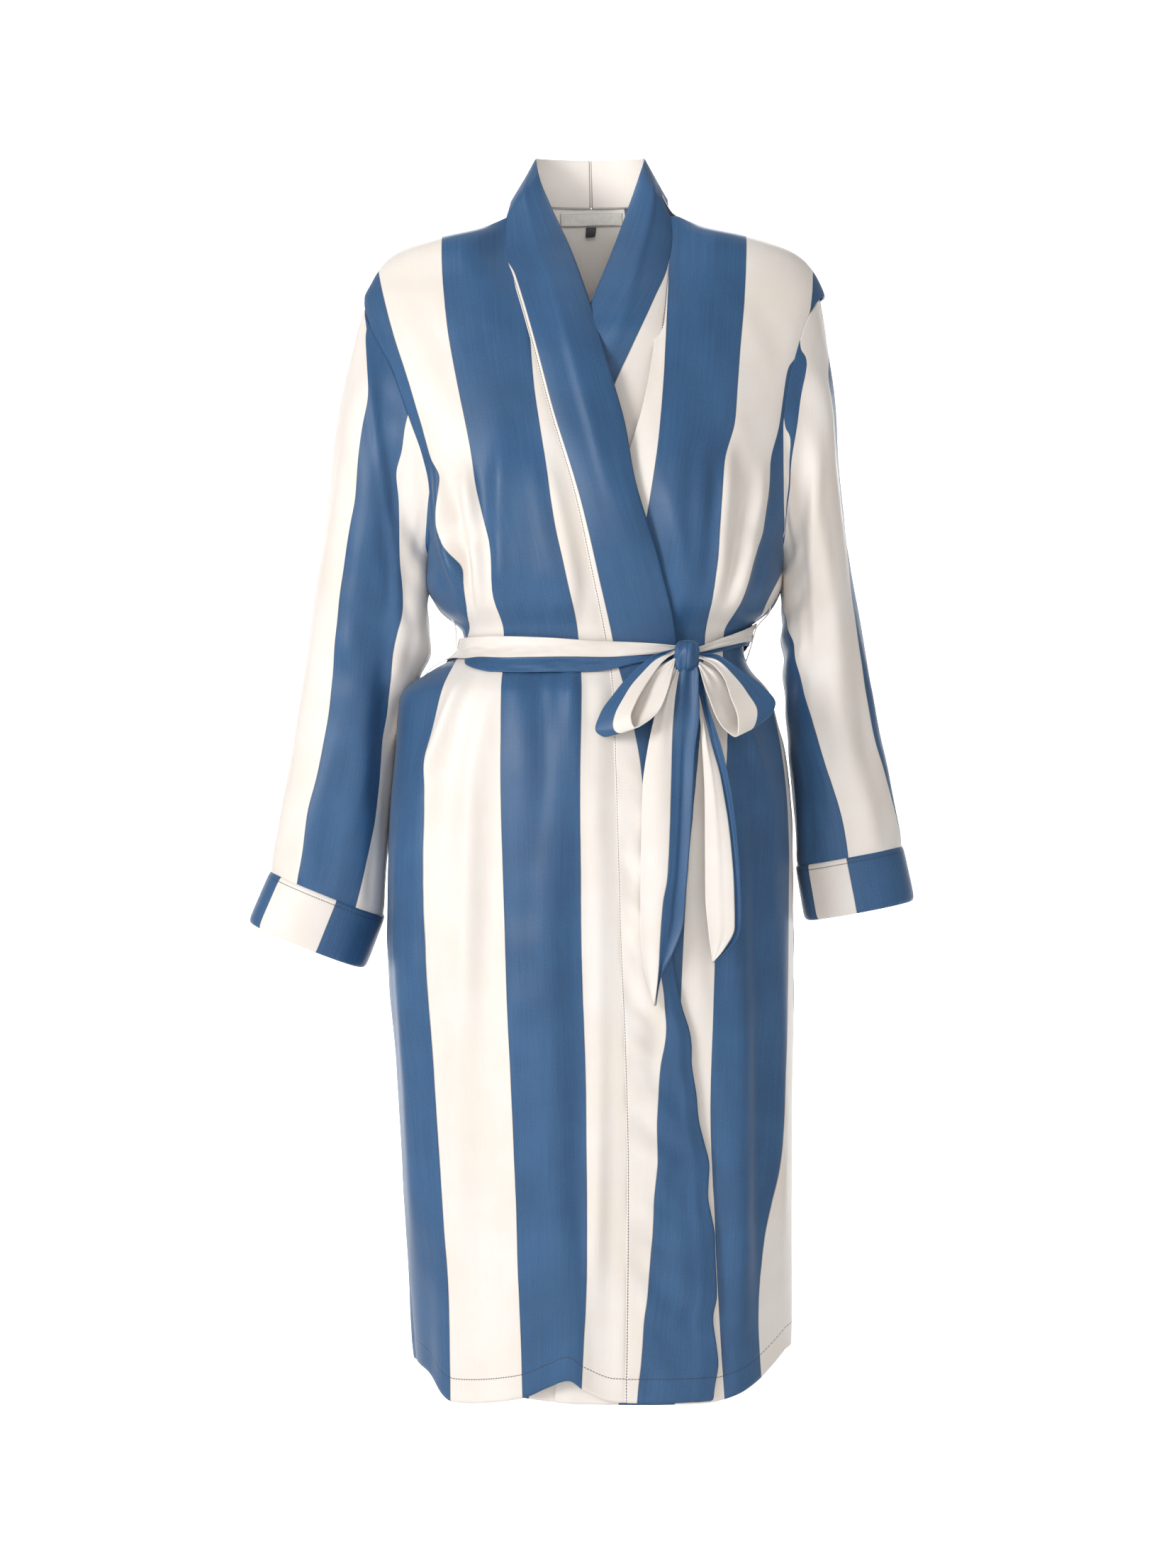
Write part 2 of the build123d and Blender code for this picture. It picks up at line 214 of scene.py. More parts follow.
def satin(name, stripes="repeat"):
    """Satin with U in metres across it. Stripes that repeat are blue from U = 0 and cream from one
    stripe on. A half is blue below 0 and cream above. Plain is all cream. The map "sewn" holds the
    distances to an upright and to a level row of stitches."""
    made = Finish(name, Specular_IOR_Level=0.42, Sheen_Weight=0.12, Sheen_Roughness=0.4, Anisotropic=0.3)
    place = made.node("ShaderNodeUVMap", {"uv_map": "cloth"})
    across, along = made.parts(place)
    beside, above = made.parts(made.node("ShaderNodeUVMap", {"uv_map": "sewn"}))

    flat, point, noise = {"noise_dimensions": "2D"}, {"vector_type": "POINT"}, "ShaderNodeTexNoise"
    fine = made.node("ShaderNodeMapping", point, Vector=place, Scale=(900.0, 11.0, 1.0))
    warp = made.node(noise, flat, Vector=fine, Scale=1.0, Detail=3.0, Roughness=0.6)
    wide = made.node("ShaderNodeMapping", point, Vector=place, Scale=(18.0, 1100.0, 1.0))
    weft = made.node(noise, flat, Vector=wide, Scale=1.0, Detail=2.0)
    cloud = made.node(noise, flat, Vector=place, Scale=14.0, Detail=4.0)
    grain = made.node(noise, flat, Vector=place, Scale=900.0, Detail=2.0)

    u = across + (cloud - 0.5) * 0.0010
    if stripes == "repeat":
        turn = (u / stripe) % 2.0
        creamy = (turn - 1.0).ramp(-0.003, 0.003) * (1.0 - (turn - 2.0).ramp(-0.006, 0.0))
        near = (u / stripe + 0.5) % 1.0
        edge = abs(near - 0.5) * stripe
    elif stripes == "half":
        creamy = u.ramp(-0.0002, 0.0002)
        edge = abs(u)
    else:
        creamy, edge = 1.0, None

    blue_here = made.mix((warp * 0.35 + grain * 0.40 + cloud * 0.35).ramp(0.36, 0.74), blue_deep, blue)
    cream_here = made.mix((cloud * 0.6 + warp * 0.2 + grain * 0.2).ramp(0.32, 0.72), cream_warm, cream)
    colour = made.mix(creamy, blue_here, cream_here)
    if stripes == "plain":
        colour = made.mix(cloud, cream_warm, cream)
    relief = warp * 0.5 + weft * 0.4
    if edge is not None:
        line = edge.ramp(0.0001, 0.0009)
        colour = made.mix(line * 0.55 + 0.45, thread, colour)
        relief = relief + line * 0.2
    dash_up = (abs(beside) < stitch_half_width) * ((along % stitch_pitch) < stitch_length)
    dash_level = (abs(above) < stitch_half_width) * ((across % stitch_pitch) < stitch_length)
    stitched = dash_up.maths("MAXIMUM", dash_up, dash_level)
    colour = made.mix(stitched * 0.9, colour, thread)
    sunk = abs(beside).ramp(0.0002, 0.0020) + abs(above).ramp(0.0002, 0.0020)
    relief = relief + sunk + stitched * 0.6
    made.set("Base Color", colour)
    made.set("Roughness", warp * 0.10 + cloud * 0.10 + 0.36)
    made.set("Normal", made.node("ShaderNodeBump", Strength=0.4, Distance=0.0004, Height=relief))
    return made.material


striped_satin = satin("Striped_satin")
half_satin = satin("Half_and_half_satin", "half")
cream_satin = satin("Cream_satin", "plain")


# ---------------------------------------------------------------- Form of the robe
# The robe hangs as if worn. Each height has a centre, a half width and a half depth in millimetres, and
# its outline is rounder than a box and squarer than an ellipse.
form = np.array(
    [
        (-1100, 8, 170, 126), (-1060, 7, 172, 126), (-966, 3.5, 175.5, 127), (-822, 0, 179.5, 127),
        (-679, -4.5, 184.5, 127), (-607, -4.5, 184.5, 126), (-564, -4.5, 183, 124),
        (-506, -5, 177.5, 118), (-475, -8, 173, 112), (-452, -9, 168, 106), (-432, -4, 146, 99),
        (-412, 8, 127, 96), (-395, 8, 130, 98), (-375, 8, 150, 106), (-352, 7, 163, 112),
        (-322, 9, 164, 114), (-290, 6, 173, 113), (-250, 3, 184, 108), (-204, 1, 195, 98),
        (-150, 0, 205, 84), (-93, -1, 212, 66), (-75, 0, 205, 61), (-60, 0, 195, 59),
        (-50, 0, 182, 58), (-39, 0, 153, 57), (-27, -1, 101, 56), (-14, -3, 75, 55), (4, -5, 66, 54),
    ],
    float,
)
roundness = 2.35


def glide(t, step, here, there, slope_here, slope_there):
    """The cubic curve from here to there as t goes from 0 to 1, with a slope given at each end."""
    return (
        (1 + 2 * t) * (1 - t) ** 2 * here
        + t * (1 - t) ** 2 * step * slope_here
        + t * t * (3 - 2 * t) * there
        + t * t * (t - 1) * step * slope_there
    )


def smooth_line(at, knots, values):
    """Values on a smooth curve through rising knots that never overshoots. It is level past its ends."""
    knots, values = np.asarray(knots, float), np.asarray(values, float)
    if knots[0] > knots[-1]:
        knots, values = knots[::-1], values[::-1]
    rise = np.diff(values) / np.diff(knots)
    slope = np.concatenate([rise[:1], np.zeros(len(values) - 2), rise[-1:]])
    product = rise[:-1] * rise[1:]
    total = rise[:-1] + rise[1:]
    slope[1:-1] = np.where(product > 0, 2 * product / np.where(total == 0, 1, total), 0)
    at = np.clip(at, knots[0], knots[-1])
    i = np.clip(np.searchsorted(knots, at, side="right") - 1, 0, len(knots) - 2)
    h = knots[i + 1] - knots[i]
    return glide((at - knots[i]) / h, h, values[i], values[i + 1], slope[i], slope[i + 1])


def ease(at, low, high):
    """0 below low, 1 above high, and smooth between."""
    t = np.clip((np.asarray(at, float) - low) / (high - low), 0, 1)
    return t * t * (3 - 2 * t)


def line_at(z, points):
    """The first value of (value, height) points, read at heights z."""
    points = np.array(points, float)
    order = np.argsort(points[:, 1])
    return smooth_line(z, points[order, 1], points[order, 0])


def sizes_at(z):
    """The form's centre, half width and half depth at heights z."""
    return [smooth_line(z, form[:, 0], form[:, k]) for k in (1, 2, 3)]


def on_robe(x, z, face=-1.0, out=0.0):
    """The point of the robe's form at (x, z), on its front (face -1) or back (+1), moved out by out."""
    centre, wide, deep = sizes_at(z)
    share = np.clip(np.abs(x - centre) / wide, 0, 1)
    y = face * deep * (1 - share**roundness) ** (1 / roundness)
    nx = np.sign(x - centre) * share ** (roundness - 1) / wide
    ny = face * (np.abs(y) / deep) ** (roundness - 1) / deep
    size = np.sqrt(nx * nx + ny * ny) + 1e-12
    return np.stack([x + out * nx / size, y + out * ny / size, z + 0 * x], -1)


def drift(a, b, seed):
    """Soft random hills between -1 and 1, one to each unit square of (a, b)."""
    grid = np.random.RandomState(seed).rand(64, 64) * 2 - 1
    a, b = np.asarray(a, float) + 1000, np.asarray(b, float) + 1000
    ia, ib = np.floor(a).astype(int), np.floor(b).astype(int)
    fa, fb = a - ia, b - ib
    fa, fb = fa * fa * (3 - 2 * fa), fb * fb * (3 - 2 * fb)
    near, far = [grid[ia % 64, j % 64] * (1 - fa) + grid[(ia + 1) % 64, j % 64] * fa for j in (ib, ib + 1)]
    return near * (1 - fb) + far * fb


def hem_line(x, points):
    """The hem's height at x, from (x, height) points."""
    points = np.array(points, float)
    return smooth_line(x, points[:, 0], points[:, 1])


def cloth_mesh(name, points, across, along, skins, thick=0.6, sewn=(1.0, 1.0), flip=False):
    """A sheet of cloth through rows of points in millimetres, with across and along in metres as its
    map. sewn gives the distances in metres to an upright and a level row of stitches. A second skin
    is for the cloth's reverse."""
    rows, cols = points.shape[:2]
    mesh = bpy.data.meshes.new(name)
    index = np.arange(rows * cols).reshape(rows, cols)
    quads = np.stack([index[:-1, :-1], index[:-1, 1:], index[1:, 1:], index[1:, :-1]], -1).reshape(-1, 4)
    if flip:
        quads = quads[:, ::-1]
    mesh.from_pydata((points.reshape(-1, 3) * 0.001).tolist(), [], quads.tolist())
    corners = np.zeros(len(mesh.loops), int)
    mesh.loops.foreach_get("vertex_index", corners)
    for title, pair in (("cloth", (across, along)), ("sewn", sewn)):
        flat = np.stack([np.broadcast_to(value, (rows, cols)) for value in pair], -1).reshape(-1, 2)
        mesh.uv_layers.new(name=title).data.foreach_set("uv", flat[corners].astype(np.float32).ravel())
    mesh.polygons.foreach_set("use_smooth", np.ones(len(mesh.polygons), bool))
    piece = bpy.data.objects.new(name, mesh)
    bpy.context.scene.collection.objects.link(piece)
    for skin in skins:
        mesh.materials.append(skin)
    soften = piece.modifiers.new("Soften", "SUBSURF")
    soften.levels = soften.render_levels = 1
    wall = piece.modifiers.new("Cloth", "SOLIDIFY")
    wall.thickness, wall.offset, wall.material_offset = thick * 0.001, -1.0, len(skins) - 1
    return piece


# ---------------------------------------------------------------- Folds
# Satin this light gathers under the belt. Short folds fan out above and below it, and long soft ones
# run down the skirt.
belt_height = -412.0


def gathers(x, z, seed, count, low, high):
    """Height of the folds that fan out from the belt between x = low and x = high."""
    pick = np.random.RandomState(seed)
    total = np.zeros(np.broadcast(x, z).shape)
    starts = np.linspace(low, high, count) + pick.uniform(-0.35, 0.35, count) * (high - low) / count
    for start in starts:
        for up in (1, -1):
            lean = 0.22 * (start - (low + high) / 2) / (high - low) + pick.uniform(-0.09, 0.09)
            reach = pick.uniform(30, 85) if up > 0 else pick.uniform(45, 170)
            width, tall = pick.uniform(4.2, 7.5), pick.uniform(3.2, 7.2)
            off = up * (z - belt_height)
            away = np.clip(off - 12, 0, None)
            near = x - (start + lean * away)
            ridge = np.exp(-((near / (width + 0.10 * away)) ** 2))
            total += tall * ease(off, 12, 42) * np.exp(-away / reach) * ridge
    return total


def fold(x, z, path, width, height):
    """One long fold that follows path, given as (x, z) points, and fades out at both ends."""
    path = np.array(path, float)
    low, high = path[:, 1].min(), path[:, 1].max()
    fade = ease(z, low, low + 0.3 * (high - low)) * (1 - ease(z, high - 0.3 * (high - low), high))
    return height * fade * np.exp(-(((x - line_at(z, path)) / width) ** 2))


def skirt_waves(x, z, seed):
    """The long soft folds of the skirt, stronger towards the hem."""
    grow = ease(-z, 430, 800)
    long_waves = 4.6 * drift(x / 58, z / 560, seed) + 2.0 * drift(x / 26, z / 300, seed + 1)
    short_waves = 1.4 * drift(x / 15, z / 130, seed + 2) + 0.5 * drift(x / 30, z / 26, seed + 3)
    return grow * long_waves + ease(-z, 420, 500) * short_waves


def bodice_waves(x, z, seed):
    """Small uneven waves above the belt."""
    here = ease(z, -410, -330) * (1 - ease(z, -150, -60))
    slanting = drift((x + 0.4 * z) / 22, z / 60, seed + 1)
    return here * (2.6 * drift(x / 48, z / 120, seed) + 1.1 * slanting)


# ---------------------------------------------------------------- Front panels
# The two fronts, cut from the striped satin. The wearer's right front laps over the left. Each runs
# from its side seam and armhole to the band's seam, and up to the shoulder seam.
armhole_right = [(-150, -328), (-148, -297), (-149, -269), (-155, -241), (-166, -210), (-185, -157),
                 (-202, -125), (-210, -102), (-212, -93)]
armhole_left = [(169, -329), (169, -300), (168, -217), (174, -171), (180, -148), (191, -114),
                (200, -98), (208, -90)]
underarm = -326.0
shoulder_point = -93.0

band_seam_right = [(25, -1090), (25, -1077), (26, -1015), (27, -878), (25, -775), (21, -673),
                   (17, -535), (14, -451), (10, -420), (-4, -350), (-19, -281), (-42, -202),
                   (-58, -140), (-76, -76), (-83, -55), (-82, -21), (-77, -4)]
band_edge_right = [(106, -1090), (105, -1077), (107, -1015), (96, -864), (83, -761), (66, -658),
                   (66, -540), (70, -470), (72, -418), (57, -343), (34, -264), (26, -217), (15, -176),
                   (-5, -104), (-22, -52), (-41, -8), (-52, 22), (-54, 37)]
band_seam_left = [(-30, -1090), (-25, -673), (-16, -451), (-8, -420), (14, -310), (34, -247),
                  (48, -202), (58, -149), (64, -101), (67, -68), (71, -38), (69, -20), (62, -4)]
band_edge_left = [(-104, -1090), (-80, -664), (-74, -418), (-60, -300), (-37, -178), (-5, -104),
                  (12, -60), (29, -12), (38, 15), (45, 38)]


def panel_side(z, hand):
    """How far out a front panel reaches at height z: side seam, then armhole, then shoulder seam."""
    centre, wide, deep = sizes_at(z)
    seam_share = (1 - (14.0 / deep) ** roundness) ** (1 / roundness)
    at_seam = centre + hand * wide * seam_share
    armhole = line_at(z, armhole_right if hand < 0 else armhole_left)
    inside = (z > underarm) & (z < shoulder_point)
    near_under = ease(z, underarm, underarm + 26)
    meet = at_seam * (1 - near_under) + armhole * near_under
    limited = np.where(hand * meet < hand * at_seam, meet, at_seam)
    return np.where(inside, limited, at_seam)


def spread(x_in, x_out, z, cols):
    """cols points on each row from x_in to x_out, evenly spaced along the curve of the form."""
    fine = np.linspace(0, 1, 240)
    lanes = np.linspace(0, 1, cols)
    x = x_in[:, None] + (x_out - x_in)[:, None] * fine[None]
    p = on_robe(x, np.broadcast_to(z[:, None], x.shape))
    step = np.sqrt(np.sum(np.diff(p, axis=1) ** 2, -1))
    run = np.concatenate([np.zeros((len(z), 1)), np.cumsum(step, 1)], 1)
    run /= np.maximum(run[:, -1:], 1e-9)
    return np.stack([np.interp(lanes, run[i], x[i]) for i in range(len(z))])


def stripe_map(x, z, edges):
    """Distance across the cloth in metres, read from where each stripe edge lies at each height.
    edges is a list of (distance, [(x, z), ...]), with rising x."""
    places = np.stack([line_at(z[:, 0], e) for _, e in edges], 1)
    values = np.array([d for d, _ in edges])
    out = np.zeros(x.shape)
    for i in range(x.shape[0]):
        row = np.maximum.accumulate(places[i] + np.arange(len(values)) * 1e-3)
        out[i] = np.interp(x[i], row, values)
        left, right = x[i] < row[0], x[i] > row[-1]
        out[i][left] = values[0] + (x[i][left] - row[0]) * 0.001
        out[i][right] = values[-1] + (x[i][right] - row[-1]) * 0.001
    return out


hem_depth = 21.0
hem_bottom = -1080.0
bands_of_rows = [(hem_bottom, -470, 6.5), (-470, -350, 4.0), (-350, -110, 5.5), (-110, -15, 2.8)]
heights = np.concatenate([np.arange(*band) for band in bands_of_rows])
hem_right = [(-172, -1056), (-155, -1061), (-125, -1083), (-64, -1074), (-42, -1064), (-23, -1056),
             (-10, -1066), (17, -1077), (105, -1078)]
hem_left = [(-110, -1070), (-30, -1079), (20, -1080), (99, -1081), (143, -1065), (171, -1044)]


def to_neck(points, z, from_seam):
    """Brings a front's top corner back to where the collar band stands."""
    near = ease(z, -150, -20) * (1 - ease(from_seam, 4, 48))
    neck = np.minimum(-12 + (z + 14) * 0.42, 0) - 2.0
    points[..., 1] = points[..., 1] * (1 - near) + np.maximum(neck, points[..., 1]) * near


def hang(x, z, hem):
    """Heights bent near the bottom so that the lowest row follows the hem, and what the row of hem
    stitches is away, in metres."""
    bent = z + (hem_line(x, hem) - hem_bottom) * ease(-z, 820, -hem_bottom)
    return bent, (z - hem_bottom - hem_depth) * 0.001


# wearer's right front
right_edges = [
    (0.075, [(-127, -1097), (-128, -995), (-133, -924), (-141, -817), (-147, -712), (-149, -641),
             (-146, -535), (-143, -499), (-138, -459), (-121, -414), (-112, -390), (-115, -344),
             (-124, -327), (-133, -303), (-136, -261), (-147, -242), (-155, -214), (-165, -179),
             (-190, -100), (-199, -60), (-205, -14)]),
    (0.150, [(-63, -1100), (-67, -947), (-72, -809), (-79, -673), (-83, -535), (-82, -429),
             (-82, -400), (-90, -361), (-91, -330), (-97, -305), (-106, -268), (-111, -237),
             (-122, -183), (-132, -128), (-138, -73), (-140, -14)]),
    (0.225, [(-14, -1100), (-8, -947), (-9, -809), (-13, -673), (-14, -535), (-13, -452), (-16, -402),
             (-26, -350), (-36, -305), (-43, -257), (-50, -215), (-55, -181), (-60, -110), (-62, -14)]),
    (0.300, [(62, -1100), (68, -809), (60, -535), (56, -420), (36, -340), (18, -257), (0, -150),
             (-2, -14)]),
]
x_in, x_out = line_at(heights, band_seam_right) + 7.0, panel_side(heights, -1)
x_out = np.minimum(x_out, x_in)
x = spread(x_in, x_out, heights, 72)
z = np.broadcast_to(heights[:, None], x.shape)
lift = gathers(x, z, 11, 15, -118, 12) + skirt_waves(x, z, 21) + bodice_waves(x, z, 31)
for path, width, height in [
    ([(-112, -380), (-126, -330), (-150, -230)], 7, 13.0),
    ([(-101, -396), (-104, -340), (-118, -236)], 7, 9.0),
    ([(-88, -396), (-84, -330), (-84, -220)], 9, 6.0),
    ([(-106, -396), (-112, -340), (-128, -262)], 4, -5.0),
    ([(-62, -396), (-66, -320), (-82, -200)], 14, 4.0),
    ([(-32, -396), (-42, -320), (-60, -220)], 12, 5.0),
    ([(-10, -396), (-22, -330), (-44, -230)], 7, 5.5),
    ([(-120, -430), (-150, -560), (-160, -800)], 12, 7.0),
    ([(-96, -430), (-112, -560), (-114, -790)], 10, 5.0),
    ([(-30, -430), (-36, -640), (-38, -1080)], 14, 5.0),
    ([(-80, -430), (-96, -700), (-98, -1080)], 16, -5.0),
    ([(2, -430), (4, -700), (-2, -1080)], 9, 4.0),
    ([(-140, -440), (-172, -640), (-166, -1080)], 14, 7.0),
    ([(-110, -424), (-128, -470), (-150, -540)], 6, 6.0),
    ([(-60, -600), (-58, -840), (-56, -1080)], 20, 5.0),
    ([(-20, -880), (-22, -980), (-23, -1200)], 18, 6.0),
]:
    lift = lift + fold(x, z, path, width, height)
from_seam = np.abs(x - x_in[:, None])
calm = ease(np.abs(x - x_out[:, None]), 0, 18) * (0.15 + 0.85 * ease(from_seam, 6, 34))
bent, above = hang(x, z, hem_right)
points = on_robe(x, z, out=lift * calm - 1.6 * (1 - ease(from_seam, 0, 16)))
points[..., 2] = bent
to_neck(points, z, from_seam)
across = stripe_map(x, z, right_edges)
front_right = cloth_mesh("Front_right", points, across, z * 0.001, [striped_satin], sewn=(1.0, above))
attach(front_right, "robe")
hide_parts("front_panel_right")

# wearer's left front
left_edges = [
    (0.000, [(20, -1100), (30, -640), (36, -420), (44, -312), (49, -278), (56, -226), (62, -150),
             (66, -73), (68, -14)]),
    (0.075, [(70, -1100), (77, -686), (96, -430), (98, -402), (104, -340), (108, -289), (112, -251),
             (123, -215), (126, -183), (131, -128), (135, -73), (137, -14)]),
    (0.150, [(116, -1100), (112, -1030), (106, -924), (101, -817), (103, -712), (112, -500),
             (113, -430), (114, -401), (125, -367), (134, -335), (148, -310), (153, -278), (156, -246),
             (164, -214), (168, -188), (173, -160), (183, -147), (195, -100), (202, -14)]),
    (0.225, [(147, -1100), (144, -1030), (152, -959), (165, -853), (170, -712), (172, -564),
             (160, -464), (140, -420), (150, -380), (180, -320), (230, -200), (260, -14)]),
]
x_in, x_out = line_at(heights, band_seam_left) - 7.0, panel_side(heights, 1)
x_out = np.maximum(x_out, x_in)
x = spread(x_in, x_out, heights, 72)
z = np.broadcast_to(heights[:, None], x.shape)
covered = 1 - ease(x - line_at(heights, band_edge_right)[:, None], -4, 26)
lift = gathers(x, z, 12, 15, -10, 124) + skirt_waves(x, z, 22) + bodice_waves(x, z, 32)
for path, width, height in [
    ([(114, -396), (130, -340), (152, -240)], 7, 10.0),
    ([(102, -396), (108, -330), (120, -220)], 8, 7.0),
    ([(90, -396), (90, -330), (94, -220)], 9, 5.0),
    ([(108, -396), (118, -340), (134, -262)], 4, -4.5),
    ([(66, -396), (68, -320), (78, -200)], 12, 4.0),
    ([(126, -430), (150, -560), (158, -800)], 12, 7.0),
    ([(104, -430), (124, -620), (126, -1080)], 14, 6.0),
    ([(140, -500), (146, -760), (146, -1080)], 12, -5.0),
    ([(150, -440), (172, -640), (168, -1080)], 12, 6.0),
    ([(112, -424), (128, -470), (146, -540)], 6, 5.0),
]:
    lift = lift + fold(x, z, path, width, height)
from_seam = np.abs(x - x_in[:, None])
calm = ease(np.abs(x - x_out[:, None]), 0, 18) * (0.15 + 0.85 * ease(from_seam, 6, 34))
calm = calm * (1 - 0.85 * covered)
bent, above = hang(x, z, hem_left)
under = 5.5 * covered * (1 - ease(z, -120, -60)) + 1.6 * (1 - ease(from_seam, 0, 16))
points = on_robe(x, z, out=lift * calm - under)
points[..., 2] = bent
to_neck(points, z, from_seam)
across = stripe_map(x, z, left_edges)
front_left = cloth_mesh(
    "Front_left", points, across, z * 0.001, [striped_satin], sewn=(1.0, above), flip=True
)
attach(front_left, "robe")
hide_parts("front_panel_left")

# ---------------------------------------------------------------- Back panel
# One piece of striped satin across the back, with a cream stripe down its middle. It meets the fronts
# at the side seams and at shoulder seams that lie a little forward of the top of the shoulders.
back_heights = np.concatenate([heights[heights < -112], np.arange(-112, 4, 2.6)])
left_x, right_x = panel_side(back_heights, -1), panel_side(back_heights, 1)


def round_back(z, x_left, x_right, cols):
    """Rows of points round the back of the form, from the right side seam to the left one, and how far
    each is round it from the middle."""
    centre, wide, deep = sizes_at(z)
    rows = []
    for i, height in enumerate(z):
        shares = np.clip((np.array([x_left[i], x_right[i]]) - centre[i]) / wide[i], -1, 1)
        start, stop = np.arcsin(np.sign(shares) * np.abs(shares) ** (roundness / 2))
        if not underarm < height < shoulder_point:  # there the seams lie forward of the sides
            start, stop = -np.pi - start, np.pi - stop
        angle = np.linspace(start, stop, 400)
        s, c = np.sin(angle), np.cos(angle)
        px = centre[i] + wide[i] * np.sign(s) * np.abs(s) ** (2 / roundness)
        py = deep[i] * np.sign(c) * np.abs(c) ** (2 / roundness)
        run = np.concatenate([[0], np.cumsum(np.hypot(np.diff(px), np.diff(py)))])
        lanes = np.linspace(0, run[-1], cols)
        middle = np.interp(0.0, angle, run)
        rows.append(np.stack([np.interp(lanes, run, px), np.interp(lanes, run, py), lanes - middle], -1))
    return np.stack(rows)


ring = round_back(back_heights, left_x, right_x, 130)
x, y, arc = ring[..., 0], ring[..., 1], ring[..., 2]
z = np.broadcast_to(back_heights[:, None], x.shape)
centre, wide, deep = [v[:, None] for v in sizes_at(back_heights)]
share = np.clip(np.abs(x - centre) / wide, 0, 1)
nx = np.sign(x - centre) * share ** (roundness - 1) / wide
ny = np.sign(y) * (np.abs(y) / deep) ** (roundness - 1) / deep
size = np.sqrt(nx * nx + ny * ny) + 1e-12
lift = gathers(arc, z, 13, 30, -190, 190) + 1.3 * skirt_waves(arc, z, 23) + bodice_waves(arc, z, 33)
edge_off = np.minimum(np.abs(arc - arc[:, :1]), np.abs(arc - arc[:, -1:]))
lift = lift * ease(edge_off, 0, 18)
hem_back = [(-180, -1056), (-120, -1072), (0, -1078), (120, -1070), (180, -1044)]
bent, above = hang(x, z, hem_back)
points = np.stack([x + lift * nx / size, y + lift * ny / size, bent], -1)
waist_pull = line_at(z, [(1.0, -1100), (1.0, -560), (0.80, -412), (1.0, -300), (1.0, 4)])
middle_stripe = 0.1175  # puts a cream stripe down the middle of the back
across = arc / waist_pull * 0.001 + middle_stripe
back_panel = cloth_mesh(
    "Back_panel", points, across, z * 0.001, [striped_satin], sewn=(1.0, above), flip=True
)
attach(back_panel, "robe")
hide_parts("back_panel")

# ---------------------------------------------------------------- Collar and front bands
# A double band of satin, blue with a sliver of cream along its seam. It runs from the centre back seam
# round the neck and down each front edge to the hem. Inside it is cream.


band_width = 0.078


